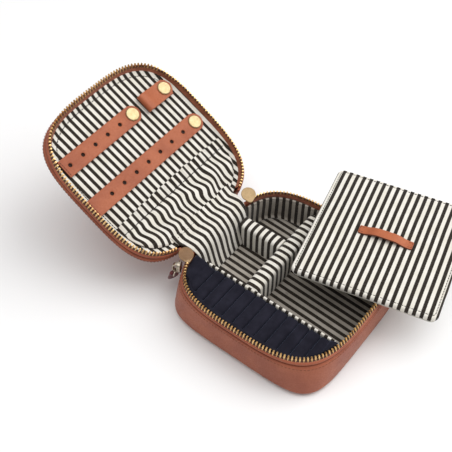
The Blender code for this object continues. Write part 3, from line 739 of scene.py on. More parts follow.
def build_zip(side, shape, place, start, end, offset):
    line = ZIP_TAPE[side]
    half = 0.3 * MM
    outer, inner = [], []
    for i, point in enumerate(line):
        before = Vector(line[max(i - 1, 0)])
        after = Vector(line[min(i + 1, len(line) - 1)])
        along = (after - before).normalized()
        across = Vector((-along.y, along.x)) * half
        outer.append(tuple(Vector(point) + across))
        inner.append(tuple(Vector(point) - across))
    tape = sweep(side + "_tape", outer + list(reversed(inner)), shape, place, start, end)
    new_object(side + "_tape", tape, "tape", side, "zip_tape", side + "_zip_tape")
    # The cord under the teeth takes near-black tape: painted shade between the teeth.
    bead = arc((1.6 * MM, 2.45 * MM), 0.62 * MM, 0, 330, 11)
    bead = sweep(side + "_tape_bead", bead, shape, place, start, end)
    new_object(side + "_tape_bead", bead, "tape bead", side, "zip_tape")

    _, length = stations(start, end, 8, shape=shape)
    count = round(length / TOOTH_PITCH)
    angles, _ = stations(start, end, 2 * count, shape=shape)
    places = []
    inset, depth = line[-1]
    for i in range(offset, 2 * count, 2):
        angle = angles[i]
        outward = outward_at(angle, inset, depth, shape)
        lean = tooth_lean(side, outward)
        upward = math.sqrt(1 - lean * lean)
        rise = outward * lean + Vector((0, 0, upward))
        point = outline_point(angle, inset, depth, shape) + rise * TOOTH_REACH
        matrix = frame_at(point, rise, outward * upward - Vector((0, 0, lean)))
        places.append(place @ matrix)
    mesh = repeat(side + "_teeth", tooth_mesh(), places)
    new_object(side + "_teeth", mesh, "teeth", side, "brass", side + "_zip_chain", smooth=30)


# Base lining

def build_lining():
    profile = mm((3.3, 7.0), (3.4, 6.5), (3.7, 6.25), (4.0, 6.4), (4.1, 6.9), (4.12, 7.5))
    profile += mm((4.0, 7.85), (4.15, 8.2), (4.3, 9.5), (4.6, 12), (4.8, 17), (4.8, 23))
    profile += mm((4.85, 26.2), (5.2, 27.5), (6.0, 28.2), (7.0, 28.4))

    def slack(run, inset, depth):
        below_rim = min(1.0, max(0.0, (depth - 9 * MM) / (8 * MM)))
        over_floor = min(1.0, max(0.0, (27 * MM - depth) / (6 * MM)))
        loose = below_rim * over_floor
        return -0.25 * MM * loose * (0.5 + 0.5 * ripple(run, depth, 0, 14 * MM, 3.1))

    mesh = sweep("lining_wall", profile, BASE_SHAPE, ON_RIM, step=1.2 * MM, ring=False, wave=slack)
    # Wall and floor of the base's lining take the darkened ticking: painted shade.
    wall = new_object("lining_wall", mesh, "inner striped", "base", "ticking", "base_lining")
    thicken(wall, 0.5 * MM, 1.0)
    path, outward = outline_path(4.1 * MM, 7.85 * MM, BASE_SHAPE, ON_RIM)
    inward = [-way for way in outward]
    stitches("lining_hem_stitches", path, inward, "base", "ticking", "thread", 2.2 * MM, 0.75, 0.2 * MM)

    depth = RIM_Z - FLOOR_Z
    rows = []
    turn = math.radians(2.5)
    insets = [6.6, 9, 12, 16, 21, 27, 33, 39, 45, 51, 56, 60, 61.8]
    count = 180
    for inset in insets:
        row = []
        for i in range(count):
            point = outline_point(2 * math.pi * i / count, inset * MM, depth, BASE_SHAPE)
            point.z += 0.12 * MM * ripple(point.x, point.y, 0, 16 * MM, 5.0)
            row.append(ON_RIM @ point)
        rows.append(row)

    def flat(i, j):
        point = rows[i][j % count]
        return point.x * math.cos(turn) - point.y * math.sin(turn), point.y

    mesh = grid("lining_floor", rows, flat, ring=True)
    floor = new_object("lining_floor", mesh, "inner striped", "base", "ticking")
    thicken(floor, 0.5 * MM, 0.0)


# Ring tray

def build_ring_tray():
    bed_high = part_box("ring_bed")[1]
    right = bed_high.x
    depth = RIM_Z - bed_high.z
    rows = []
    steps = 70
    front, back = -57.0 * MM, 56.4 * MM
    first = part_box("ring_roll_01")[0].y
    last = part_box("ring_roll_12")[1].y
    for i in range(steps + 1):
        y = front + (back - front) * i / steps
        past = max(first + 1.5 * MM - y, y - last + 1.5 * MM, 0.0)
        rise = 7.9 * MM * min(1.0, past / (2.5 * MM)) ** 0.5
        left = -half_width_at(y, 4.5 * MM, depth, BASE_SHAPE)
        row = []
        for share in (0.0, 0.02, 0.04, 0.06, 0.08, 0.10, 0.13, 0.2, 0.3, 0.45, 0.6, 0.75, 0.9, 1.0):
            x = left + (right - left) * share
            lip = 7.9 * MM * max(0.0, 1 - (x - left) / (2.6 * MM)) ** 0.6
            z = bed_high.z - 0.6 * MM + max(rise, lip) + 0.25 * MM * ripple(x, y, 0, 9 * MM)
            row.append(Vector((x, y, z)))
        rows.append(row)
    mesh = grid("ring_bed_velvet", rows)
    bed = new_object("ring_bed_velvet", mesh, "velvet", "base", "navy_velvet", "ring_bed")
    thicken(bed, 3.0 * MM)

    for number in range(1, 13):
        node = "ring_roll_%02d" % number
        low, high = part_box(node)
        mesh = roll_mesh(node + "_velvet", low, high, number)
        piece = new_object(node + "_velvet", mesh, "velvet", "base", "navy_velvet", node)

    low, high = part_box("ring_tray_wall")
    middle = (low.x + high.x) / 2
    half = (high.x - low.x) / 2
    section = [(half, low.z), (half, high.z - 8 * MM), (half, high.z - half)]
    section += arc((0, high.z - half), half, 30, 150, 4)
    section += [(-half, high.z - half), (-half, high.z - 8 * MM), (-half, low.z)]
    runs = profile_runs(section)
    rows = []
    count = 90
    for i in range(count + 1):
        y = low.y + (high.y - low.y) * i / count
        sway = 0.15 * MM * ripple(0, y, 0, 22 * MM, 9.0)
        rows.append([Vector((middle + x + sway, y, z)) for x, z in section])

    def cloth(i, j):
        return low.y + (high.y - low.y) * i / count, runs[j]

    mesh = grid("tray_wall_cloth", rows, cloth, ring=True, caps=True)
    new_object("tray_wall_cloth", mesh, "striped", "base", "ticking", "ring_tray_wall")


def roll_mesh(name, low, high, number):
    """A foam roll under velvet. Its left end follows the case's wall, and both ends are rounded."""
    centre_y, centre_z = (low.y + high.y) / 2, (low.z + high.z) / 2
    wide = (high.y - low.y) / 2 + 0.08 * MM
    tall = (high.z - low.z) / 2
    depth = RIM_Z - high.z
    right = high.x
    count, sides = 26, 28
    rows = []
    for i in range(count + 1):
        share = 0.5 - 0.5 * math.cos(math.pi * i / count)
        row = []
        for j in range(sides):
            angle = 2 * math.pi * j / sides
            cosine, sine = math.cos(angle), math.sin(angle)
            y = centre_y + wide * boxy(cosine, 0.42)
            z = centre_z + tall * boxy(sine, 0.62)
            left = -half_width_at(y, 4.9 * MM, depth, BASE_SHAPE)
            x = left + (right - left) * share
            left_end = min(1.0, (x - left) / (1.6 * MM))
            right_end = min(1.0, (right - x) / (0.6 * MM))
            fat = math.sqrt(max(0.0, 1 - (1 - left_end) ** 2))
            fat *= math.sqrt(max(0.0, 1 - (1 - right_end) ** 2))
            fat = 0.25 + 0.75 * fat
            y = centre_y + (y - centre_y) * (0.9 + 0.1 * fat)
            z = low.z + (z - low.z) * fat if z > centre_z else z
            z += 0.16 * MM * ripple(x, y, number, 9 * MM, 1.7) if z > centre_z else 0.0
            row.append(Vector((x, y, z)))
        rows.append(row)
    return grid(name, rows, ring=True, caps=True)


# Dividers

def pad_section(low, high, bottom, top, corner):
    """Cross-section of a padded wall with a slightly crowned top."""
    across = (low + high) / 2
    section = [(high, bottom), (high + 0.1 * MM, (bottom + top) / 2), (high, top - corner)]
    section += arc((high - corner, top - corner), corner, 15, 80, 5)
    section += [(across, top + 0.3 * MM)]
    section += arc((low + corner, top - corner), corner, 100, 165, 5)
    section += [(low, top - corner), (low - 0.1 * MM, (bottom + top) / 2), (low, bottom)]
    return section


def build_dividers():
    corner = 3.0 * MM
    low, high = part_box("cross_divider")
    section = pad_section(low.y, high.y, low.z, high.z - 0.3 * MM, corner)
    runs = profile_runs(section)
    count = 90
    rows = []
    for i in range(count + 1):
        x = low.x + (high.x - low.x) * i / count
        left = max(0.0, 1 - (x - low.x) / (6 * MM))
        right = max(0.0, 1 - (high.x - x) / (3 * MM))
        drop = 3.2 * MM * left ** 2.2 + 1.0 * MM * right ** 2
        pinch = 1.2 * MM * left ** 2
        row = []
        for y, z in section:
            share = (z - low.z) / (high.z - low.z)
            middle = (low.y + high.y) / 2
            y = middle + (y - middle) * (1 - pinch * share / (5.5 * MM))
            z -= drop * share
            y += 0.3 * MM * ripple(x, y, z, 13 * MM, 4.2)
            row.append(Vector((x, y, z + 0.25 * MM * share * ripple(x, y, 0, 11 * MM, 6.6))))
        rows.append(row)

    def cloth(i, j):
        return low.x + (high.x - low.x) * i / count + 3.0 * MM, runs[j]

    mesh = grid("cross_divider_cloth", rows, cloth, ring=True, caps=True)
    piece = new_object("cross_divider_cloth", mesh, "striped", "base", "ticking", "cross_divider")

    low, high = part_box("short_divider")
    section = pad_section(low.x, high.x, low.z, high.z - 0.3 * MM, 2.6 * MM)
    runs = profile_runs(section)
    foot = 49.2 * MM
    count = 48
    rows = []
    for i in range(count + 1):
        t = i / count
        row = []
        for x, z in section:
            share = (z - low.z) / (high.z - low.z)
            back = foot + (high.y - foot) * share
            y = low.y + (back - low.y) * t
            front_drop = max(0.0, 1 - (y - low.y) / (3.5 * MM))
            z -= 1.2 * MM * share * front_drop ** 2
            x += 0.25 * MM * ripple(x, y, z, 12 * MM, 8.1)
            row.append(Vector((x, y, z + 0.2 * MM * share * ripple(x, y, 0, 9 * MM, 2.6))))
        rows.append(row)

    def lengthways(i, j):
        return rows[i][j % len(section)].y, runs[j]

    mesh = grid("short_divider_cloth", rows, lengthways, ring=True, caps=True)
    piece = new_object("short_divider_cloth", mesh, "striped", "base", "ticking", "short_divider")


# Hinge: lining inside, leather spine outside, and leather tabs over the ends of the zip

def lid_point(u, w):
    place = ON_HINGE @ Vector((0, u, w))
    return place.y, place.z


# How much smaller than its solid each end disc is drawn, and how far it has settled into the corner
DISC_FIT = {
    "left": (0.8 * MM, (-0.4 * MM, -0.8 * MM, -1.2 * MM)),
    "right": (1.3 * MM, (-0.8 * MM, -1.3 * MM, -1.6 * MM)),
}


def build_hinge():
    line = [
        lid_point(13.6 * MM, -5.1 * MM),
        lid_point(9.4 * MM, -5.3 * MM),
        lid_point(6.2 * MM, -4.9 * MM),
        lid_point(3.5 * MM, -2.9 * MM),
        (62.4 * MM, 33.5 * MM),
        (59.9 * MM, 32.1 * MM),
        (57.0 * MM, 28.8 * MM),
        (55.3 * MM, 24.0 * MM),
        (53.9 * MM, 18.0 * MM),
        (51.8 * MM, 10.5 * MM),
        (50.4 * MM, 6.2 * MM),
    ]
    path = curve_through([(0, y, z) for y, z in line], 6)
    runs = run_lengths(path)
    length = runs[-1]
    columns = 64
    rows = []
    for i, point in enumerate(path):
        share = runs[i] / length
        left = (-30.5 + 5.6 * min(1.0, share / 0.55)) * MM
        right = (33.5 - 6.3 * min(1.0, share / 0.6)) * MM
        ahead = path[min(i + 1, len(path) - 1)] - path[max(i - 1, 0)]
        normal = Vector((0, ahead.z, -ahead.y)).normalized()
        slack = math.sin(math.pi * min(1.0, share / 0.9))
        row = []
        for j in range(columns + 1):
            x = left + (right - left) * j / columns
            puff = 0.45 * MM * slack * ripple(x, runs[i] * 0.5, 0, 8 * MM, 5.5)
            row.append(Vector((x, point.y, point.z)) - normal * puff)
        rows.append(row)

    def cloth(i, j):
        return rows[i][j].x + 0.8 * MM * ripple(rows[i][j].x, runs[i], 0, 14 * MM, 7.0), runs[i]

    mesh = grid("hinge_cloth", rows, cloth)
    sheet = new_object("hinge_cloth", mesh, "striped", None, "ticking", "hinge_lining")
    thicken(sheet, 0.5 * MM, 0.0)
    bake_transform(sheet)

    spine = [
        (HALF_Y + 0.75 * MM, 22.5 * MM),
        (HALF_Y + 0.8 * MM, 27.0 * MM),
        (HALF_Y + 0.85 * MM, 31.0 * MM),
        (HALF_Y + 1.4 * MM, 32.0 * MM),
        lid_point(-0.3 * MM, -3.4 * MM),
        lid_point(-0.35 * MM, -6.0 * MM),
        lid_point(-0.3 * MM, -9.6 * MM),
    ]
    path = curve_through([(0, y, z) for y, z in spine], 5)
    rows = []
    for i, point in enumerate(path):
        corner = min(i, len(path) - 1 - i) / 4
        half = (27.5 - 2.0 * max(0.0, 1 - corner) ** 2) * MM
        rows.append([Vector((half * (2 * j / 24 - 1), point.y, point.z)) for j in range(25)])
    mesh = grid("spine_leather", rows)
    piece = new_object("spine_leather", mesh, "body", None, "tan_leather", "hinge_spine")
    thicken(piece, 0.8 * MM, 0.0)
    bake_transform(piece)

    for side in ("left", "right"):
        node = "zip_end_tab_" + side
        low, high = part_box(node)
        trim, settled = DISC_FIT[side]
        centre = (low + high) / 2 + Vector(settled)
        radius = (high.x - low.x) / 2 - trim
        face = Matrix.Rotation(LID_SLOPE / 2, 4, "X") @ Matrix.Rotation(math.radians(-8), 4, "Y")
        place = Matrix.Translation(centre) @ face
        mesh = end_tab_mesh("end_tab_" + side, radius)
        mesh.transform(place)
        # The left tab takes the darkened copy of the disc leather: painted shade.
        face_leather = "disc in painted shade" if side == "left" else "disc"
        piece = new_object("end_tab_" + side, mesh, (face_leather, "disc edge"), None, "tan_leather", node)
        for polygon in mesh.polygons:
            polygon.material_index = int((place.inverted() @ polygon.center).xy.length > radius * 0.93)
        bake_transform(piece)


def end_tab_mesh(name, radius):
    """Round leather tab with one square corner, a soft rim and a slightly domed face."""
    corner = math.radians(235)
    sides = 56
    stops = [(0.0, -0.7), (0.6, -0.7), (0.92, -0.68), (1.0, -0.35), (1.0, 0.3), (0.955, 0.62)]
    stops += [(0.88, 0.68), (0.84, 0.55), (0.7, 0.72), (0.4, 0.85), (0.0, 0.9)]
    bm = bmesh.new()
    rings = []
    for share, height in stops:
        if share == 0:
            rings.append([bm.verts.new((0, 0, height * MM))])
            continue
        ring = []
        for i in range(sides):
            angle = 2 * math.pi * i / sides
            off = abs((angle - corner + math.pi) % (2 * math.pi) - math.pi)
            reach = 1.0
            if off < math.radians(45):
                reach = 1.0 / max(math.cos(math.radians(45) - off), 0.7071)
            reach = min(reach, 1.24)
            ring.append(bm.verts.new((
                radius * share * reach * math.cos(angle),
                radius * share * reach * math.sin(angle),
                height * MM,
            )))
        rings.append(ring)
    for low, high in zip(rings, rings[1:]):
        for i in range(sides):
            j = (i + 1) % sides
            if len(low) == 1:
                bm.faces.new((low[0], high[j], high[i]))
            elif len(high) == 1:
                bm.faces.new((low[i], low[j], high[0]))
            else:
                bm.faces.new((low[i], low[j], high[j], high[i]))
    return mesh_from(bm, name)


# Zip slider and its pull

SLIDER_RISE = 2.6 * MM         # middle of the slider over the eye of its pull
PULL_LEAN = math.radians(15)
PULL_SWING, PULL_TWIST = math.radians(20), math.radians(46)


def build_slider():
    joint = JOINTS["pull_hinge"]
    eye, axis = Vector(joint["pos_m"]), Vector(joint["axis"])
    outward = Vector((-axis.y, axis.x, 0))
    place = frame_at(eye, outward, (0, 0, 1))

    outline = []
    for i in range(32):
        angle = 2 * math.pi * i / 32
        cosine, sine = math.cos(angle), math.sin(angle)
        tall = 4.5 * MM * boxy(sine, 0.7)
        wide = (3.1 + 0.4 * sine) * MM * boxy(cosine, 0.7)
        outline.append((wide, tall + SLIDER_RISE))
    bm = bmesh.new()
    layers = []
    plates = [(-3.6, 0.86), (-3.3, 1.0), (-2.75, 1.0), (-2.6, 0.93), (-2.0, 0.93)]
    plates += [(-1.85, 1.0), (-1.4, 1.0), (-1.1, 0.86), (-0.95, 0.5)]
    for depth, size in plates:
        ring = []
        for y, z in outline:
            ring.append(bm.verts.new((depth * MM, y * size, SLIDER_RISE + (z - SLIDER_RISE) * size)))
        layers.append(ring)
    bridge(bm, layers)
    bm.faces.new(layers[0])
    bm.faces.new(list(reversed(layers[-1])))
    arch = [(-1.2, 5.6), (0.4, 5.3), (1.7, 3.8), (2.05, 1.2)]
    arch += [(1.95, -0.5), (1.3, -1.45), (0.3, -1.75), (-1.2, -1.7)]
    add_ribbon(bm, curve_through([(x * MM, 0, z * MM) for x, z in arch], 4), 1.3 * MM, 0.55 * MM)
    bm.transform(place)
    mesh = mesh_from(bm, "slider_body")
    new_object("slider_body", mesh, "slider", "base", "brass", "zip_slider")

    lean = place @ Matrix.Rotation(-PULL_LEAN, 4, "Y")
    loop = []
    for sign_y, sign_z, start in ((1, -1, 270), (1, 1, 0), (-1, 1, 90), (-1, -1, 180)):
        centre = (sign_y * 3.4 * MM, -1.5 * MM + sign_z * 0.9 * MM)
        loop += arc(centre, 1.0 * MM, start, start + 90, 6)
    bm = bmesh.new()
    add_tube(bm, [Vector((0, y, z)) for y, z in loop], 0.48 * MM)
    bm.transform(lean)
    new_object("pull_wire", mesh_from(bm, "pull_wire"), "slider", "zip_pull", "brass", "pull_ring")

    knot = Vector((0, 0, -3.0 * MM))
    hang = Matrix.Translation(knot - Vector((0, 0, -4.75 * MM)))
    swing = Matrix.Rotation(-PULL_SWING, 4, "X") @ Matrix.Rotation(-PULL_TWIST, 4, "Z")
    lean = lean @ Matrix.Translation(knot) @ swing @ Matrix.Translation(-knot) @ hang
    rows = []
    stops = [(-4.75, 2.2, 0.75), (-4.9, 3.2, 1.15), (-5.6, 3.7, 1.42), (-6.6, 3.8, 1.35), (-7.8, 3.85, 1.05)]
    stops += [(-9.5, 3.9, 0.85), (-14, 3.9, 0.85), (-19, 3.9, 0.85), (-20.6, 3.75, 0.85), (-21.6, 3.2, 0.84)]
    stops += [(-22.15, 2.1, 0.8), (-22.3, 1.0, 0.6)]
    for height, wide, thick in stops:
        ring = []
        for i in range(24):
            angle = 2 * math.pi * i / 24
            cosine, sine = math.cos(angle), math.sin(angle)
            y = wide * boxy(cosine, 0.35)
            x = thick * boxy(sine, 0.6)
            ring.append(lean @ (Vector((x, y, height)) * MM))
        rows.append(ring)
    mesh = grid("pull_tongue", rows, ring=True, caps=True)
    new_object("pull_tongue", mesh, "pull", "zip_pull", "tan_leather", "pull_leather")
    edge = [(-2.9, -9.0), (-2.9, -18.5), (-2.2, -20.6), (0, -21.2)]
    edge += [(2.2, -20.6), (2.9, -18.5), (2.9, -9.0), (-2.9, -9.0)]
    path = [lean @ (Vector((0.87, y, z)) * MM) for y, z in edge]
    out = lean.to_3x3() @ Vector((1, 0, 0))
    stitches("pull_stitches", path, [out] * len(path), "zip_pull", "tan_leather", "tan thread",
             1.8 * MM, 0.7, 0.16 * MM)


def add_tube(bm, path, radius, sides=10):
    """A closed loop of round wire."""
    count = len(path)
    rings = []
    for k in range(count):
        ahead = (path[(k + 1) % count] - path[k - 1]).normalized()
        side = Vector((1, 0, 0))
        up = ahead.cross(side)
        ring = []
        for i in range(sides):
            angle = 2 * math.pi * i / sides
            turned = side * radius * math.cos(angle) + up * radius * math.sin(angle)
            ring.append(bm.verts.new(path[k] + turned))
        rings.append(ring)
    bridge(bm, rings + rings[:1])


def add_ribbon(bm, path, half_width, half_thick):
    """A flat strip with rounded corners along a path in the local XZ plane."""
    rings = []
    for k, point in enumerate(path):
        ahead = (path[min(k + 1, len(path) - 1)] - path[max(k - 1, 0)]).normalized()
        out = Vector((ahead.z, 0, -ahead.x))
        ring = []
        for i in range(16):
            angle = 2 * math.pi * i / 16
            cosine, sine = math.cos(angle), math.sin(angle)
            y = half_width * boxy(cosine, 0.5)
            off = out * half_thick * boxy(sine, 0.6)
            ring.append(bm.verts.new(point + Vector((0, y, 0)) + off))
        rings.append(ring)
    bridge(bm, rings)
    bm.faces.new(list(reversed(rings[0])))
    bm.faces.new(rings[-1])


# Lid lining and pocket

SEAM_INSET = 7.3 * MM


def build_lid_lining():
    rim = [(3.5, 6.15), (3.7, 5.7), (4.1, 5.5), (4.7, 5.65), (5.5, 6.05), (6.3, 6.38)]
    rim += [(6.9, 6.52), (7.3, 6.75), (7.7, 6.55)]
    rim += [(inset, 6.5) for inset in (9.0, 12, 14, 17, 20, 24, 28, 32, 36, 40, 45, 50, 55, 59, 61)]
    count = 220
    rows, places = [], []
    for inset, depth in rim:
        row, flat_row = [], []
        for i in range(count):
            point = outline_point(2 * math.pi * i / count, inset * MM, depth * MM, LID_SHAPE)
            flat_row.append((point.x, point.y))
            if inset > 7.6:
                point.z += 0.10 * MM * ripple(point.x, point.y, 0, 17 * MM, 2.2)
            row.append(ON_LID @ point)
        rows.append(row)
        places.append(flat_row)

    def cloth(i, j):
        x, y = places[i][j % count]
        lean = 0.036 * (y - 15.8 * MM)
        return 0.986 * x - 0.4 * MM + lean + 0.3 * MM * ripple(x, y, 0, 30 * MM, 3.3), y

    mesh = grid("lid_lining_cloth", rows, cloth, ring=True)
    face_up(mesh)
    piece = new_object("lid_lining_cloth", mesh, "striped", "lid", "ticking", "lid_lining", "lid_board")
    thicken(piece, 0.8 * MM)
    start, end = math.radians(-62), math.radians(242)
    path, _ = outline_path(SEAM_INSET, 6.6 * MM, LID_SHAPE, ON_LID, start, end)
    ups = [LID_UP] * len(path)
    stitches("lid_seam_stitches", path, ups, "lid", "ticking", "thread", 2.1 * MM, 0.92, 0.3 * MM)


CHANNEL = 35.6 * MM            # distance of the elastic from the hinge
POCKET_BACK = -5.85 * MM       # lowest level of the pocket's face, just over the lining


def pocket_fold(x, u):
    """Phase of the slack folds that lie across the pocket, in radians."""
    drift = 4.6 * ripple(x, 0, 0, 33 * MM, 11.0) + 1.5 * ripple(x, u, 0, 19 * MM, 21.0)
    return 2 * math.pi * (u / (20 * MM) + x / (120 * MM)) + drift


def pocket_height(x, u, seam, mouth):
    """Height of the gathered pocket over its back: slack folds below the elastic, a ruffle above it."""
    gather = math.sin(2 * math.pi * x / (6.4 * MM) + 3.2 * ripple(x, 0, 0, 24 * MM, 6.0))
    broad = math.sin(2 * math.pi * x / (13.5 * MM) + 2.8 * ripple(x, 0, 0, 34 * MM, 1.0))
    if u < CHANNEL:
        share = max(0.0, (u - seam) / (CHANNEL - seam))
        slack = math.sin(math.pi * share) ** 0.7
        near = share ** 4
        lift = 1.35 * slack + 0.55 * slack * math.sin(pocket_fold(x, u)) + 0.45 * slack * broad
        lift += 0.34 * near * (1 + gather) * (1 - 0.6 * share ** 20)
    else:
        share = (u - CHANNEL) / (mouth - CHANNEL)
        lift = 0.30 * (1 + gather) + share * (0.40 + 0.38 * gather + 0.2 * broad)
    pinch = math.exp(-((u - CHANNEL) / (0.9 * MM)) ** 2)
    return max(0.02, lift - 0.3 * pinch) * MM


def build_pocket():
    low, high = from_lid("lid_pocket")
    seam, mouth = low.y - 4.0 * MM, high.y - 2.4 * MM
    columns, steps = 200, 66
    rows, flats = [], []
    for i in range(steps + 1):
        share = i / steps
        row, flat_row = [], []
        for j in range(columns + 1):
            across = 2 * j / columns - 1
            edge = min(1.0, (1 - abs(across)) / 0.06)
            top = mouth + 0.8 * MM * ripple(across * 0.05, 0, 0, 6 * MM, 4.0) - 1.5 * MM * across ** 2
            u = seam + (top - seam) * share
            half = half_width_at(HINGE_Y - u, 6.9 * MM, 5 * MM, LID_SHAPE)
            x = half * across
            level = POCKET_BACK + pocket_height(x, u, seam, mouth) * (0.25 + 0.75 * edge)
            below = max(0.0, 1 - max(0.0, u - CHANNEL) / (3 * MM))
            loose = 0.0
            if u < CHANNEL:
                loose = math.sin(math.pi * min(1.0, max(0.0, (u - seam) / (CHANNEL - seam)))) ** 0.6
            sway = 1.45 * loose * math.sin(pocket_fold(x, u) + 0.9)
            sway += (0.25 + 1.5 * below * loose) * ripple(x, u, 0, 17 * MM, 8.8)
            gathered = 0.30 * ripple(x, u * 0.3, 0, 7 * MM, 2.8) * (1 - below * loose)
            flat_row.append((1.01 * x + (sway + gathered) * MM + 0.036 * u, u - seam))
            row.append(ON_HINGE @ Vector((x, u, level)))
        rows.append(row)
        flats.append(flat_row)
    mesh = grid("pocket_cloth", rows, lambda i, j: flats[i][j])
    face_up(mesh)
    pocket = new_object("pocket_cloth", mesh, "striped", "lid", "ticking", "lid_pocket", "pocket_elastic")
    thicken(pocket, 0.5 * MM)

    for name, at in (("pocket_channel_stitches", CHANNEL), ("pocket_seam_stitches", seam + 0.8 * MM)):
        path = []
        half = half_width_at(HINGE_Y - at, 7.6 * MM, 5 * MM, LID_SHAPE)
        for j in range(241):
            x = half * (2 * j / 240 - 1)
            u = at + 0.3 * MM * ripple(x, 0, 0, 8 * MM, 3.0)
            edge = min(1.0, (1 - abs(x) / half) / 0.06)
            level = POCKET_BACK + pocket_height(x, u, seam, mouth) * (0.25 + 0.75 * edge)
            path.append(ON_HINGE @ Vector((x, u, level + 0.2 * MM)))
        stitches(name, path, [LID_UP] * len(path), "lid", "ticking", "thread", 2.0 * MM, 0.96, 0.27 * MM)


# Straps, tab and snaps

def nose_width(past, half):
    """Share of a strap's width at a distance past the start of its rounded end."""
    share = min(1.0, past / half)
    return max(0.12, math.sqrt(max(0.0, 1 - share * share)))


def strap_sheet(name, length, half, holes, radius, pitch, nose=True):
    """Flat strap along +X in the XY plane: rings of faces round each hole, plain rows between and beyond."""
    bm = bmesh.new()
    sides = 8
    levels = [half * (2 * k / sides - 1) for k in range(sides + 1)]

    def plain(start, end, step=0.8 * MM):
        count = max(1, round((end - start) / step))
        rows = []
        for i in range(count + 1):
            x = start + (end - start) * i / count
            wide = 1.0
            if nose and x > length - half:
                wide = nose_width(x - (length - half), half)
            rows.append([bm.verts.new((x, y * wide, 0)) for y in levels])
        strip(bm, rows)

    def cell(centre, back, ahead):
        run = back + ahead
        edge = [(ahead, y) for y in levels]
        edge += [(ahead - run * k / sides, half) for k in range(1, sides)]
        edge += [(-back, y) for y in reversed(levels)]
        edge += [(-back + run * k / sides, -half) for k in range(1, sides)]
        rings = []
        for share in (0.0, 0.35, 0.7, 0.9, 1.0):
            ring = []
            for x, y in edge:
                angle = math.atan2(y, x)
                inner = Vector((radius * math.cos(angle), radius * math.sin(angle)))
                at = Vector((x, y)).lerp(inner, share)
                dip = {1.0: -0.35, 0.9: -0.1}.get(share, 0.0) * MM
                ring.append(bm.verts.new((centre + at.x, at.y, dip)))
            rings.append(ring)
        bridge(bm, rings)

    start = 0.0
    for hole in sorted(holes):
        back = min(pitch / 2, hole)
        if hole - back > start + 0.1 * MM:
            plain(start, hole - back)
        cell(hole, back, pitch / 2)
        start = hole + pitch / 2
    plain(start, length)
    bmesh.ops.remove_doubles(bm, verts=bm.verts, dist=0.02 * MM)
    for face in bm.faces:
        if all(vertex.co.z < -0.05 * MM for vertex in face.verts):
            face.material_index = 1
    for vertex in bm.verts:
        x, y = vertex.co.x, vertex.co.y
        vertex.co.z += 0.16 * MM * ripple(x, y, 0, 18 * MM, length * 100) - 0.10 * MM * (abs(y) / half) ** 3
    return mesh_from(bm, name)


def leather_strip(name, mesh, place, body, *nodes, thick=1.7 * MM, bevel=0.38 * MM, material=("tan", "edge")):
    mesh.transform(place)
    piece = new_object(name, mesh, material, body, "tan_leather", *nodes)
    solid = piece.modifiers.new("thickness", "SOLIDIFY")
    solid.thickness = thick
    solid.offset = -1.0
    solid.material_offset_rim = 1
    solid.use_even_offset = True
    round_edges = piece.modifiers.new("edges", "BEVEL")
    round_edges.width = bevel
    round_edges.segments = 2
    round_edges.limit_method = "ANGLE"
    round_edges.angle_limit = math.radians(50)
    return piece


LAST_HOLE = 12.8 * MM          # distance from the snap to the nearest hole
HOLE_RADIUS = 1.4 * MM
STRAP_THICK = 1.7 * MM
SEWN_END = 3.9 * MM            # part of a strap between its fold and the wall of the lid
END_SEAM = 2.6 * MM            # from a strap's hinge back to the stitches that hold it
CAP_PROFILE = mm((0, 1.72), (4.6, 1.72), (4.95, 1.85), (5.02, 2.1), (4.95, 2.4), (4.75, 2.7), (4.5, 2.9))
CAP_PROFILE += mm((4.2, 3.0), (3.95, 2.92), (3.7, 2.94), (3.0, 3.0), (2.0, 3.08), (1.0, 3.12), (0, 3.13))


def build_cap(which, place, body):
    mesh = lathe("cap_" + which, CAP_PROFILE, 48)
    # The rolled rim, past 4.3 mm from the cap's middle, takes the darker brass.
    for polygon in mesh.polygons:
        polygon.material_index = int(math.hypot(*polygon.center.xy) > 4.3 * MM)
    mesh.transform(place)
    new_object("cap_" + which, mesh, ("cap", "cap rim"), body, "brass", "snap_cap_" + which, smooth=60)


def build_straps():
    for which, pitch, holes in (("long", 12.4 * MM, 7), ("short", 12.2 * MM, 5)):
        root = Vector(JOINTS[which + "_strap_hinge"]["pos_m"])
        low, high = from_lid("snap_cap_" + which)
        start = TO_LID @ root
        snap_at = (low.x + high.x) / 2 - start.x
        strap_low, strap_high = from_lid("strap_" + which)
        half = (strap_high.y - strap_low.y) / 2
        places = [snap_at - LAST_HOLE - pitch * i for i in range(holes)]
        name = "strap_%s_leather" % which
        spots = [SEWN_END + x for x in places]
        mesh = strap_sheet(name, SEWN_END + snap_at + half, half, spots, HOLE_RADIUS, pitch)
        face_up(mesh)
        top = Matrix.Translation(root) @ LID_TURN @ Matrix.Translation((-SEWN_END, 0, STRAP_THICK))
        body = which + "_strap"
        strap = leather_strip(name, mesh, top, None, "strap_" + which)
        settle(strap)
        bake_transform(strap)
        # A near-black disc under each hole: painted shadow inside the hole.
        painted_hole_shade = lathe("shade_disc_shape", mm((0, 0.1), (1.6, 0.1), (1.6, 0.3), (0, 0.3)), 20)
        spots = [Matrix.Translation(root) @ LID_TURN @ Matrix.Translation((x, 0, 0)) for x in places]
        mesh = repeat("strap_%s_hole_backs" % which, painted_hole_shade, spots)
        new_object("strap_%s_hole_backs" % which, mesh, "hole", body, "tan_leather")
        build_cap(which, Matrix.Translation(root) @ LID_TURN @ Matrix.Translation((snap_at, 0, 0)), body)

        seam = []
        for y in (-half * 0.86, half * 0.86):
            seam.append(root + LID_TURN.to_3x3() @ Vector((-END_SEAM, y, STRAP_THICK + 0.08 * MM)))
        name = "strap_%s_end_stitches" % which
        stitches(name, seam, [LID_UP] * 2, "lid", "tan_leather", "tan thread", 2.0 * MM, 0.85, 0.22 * MM)


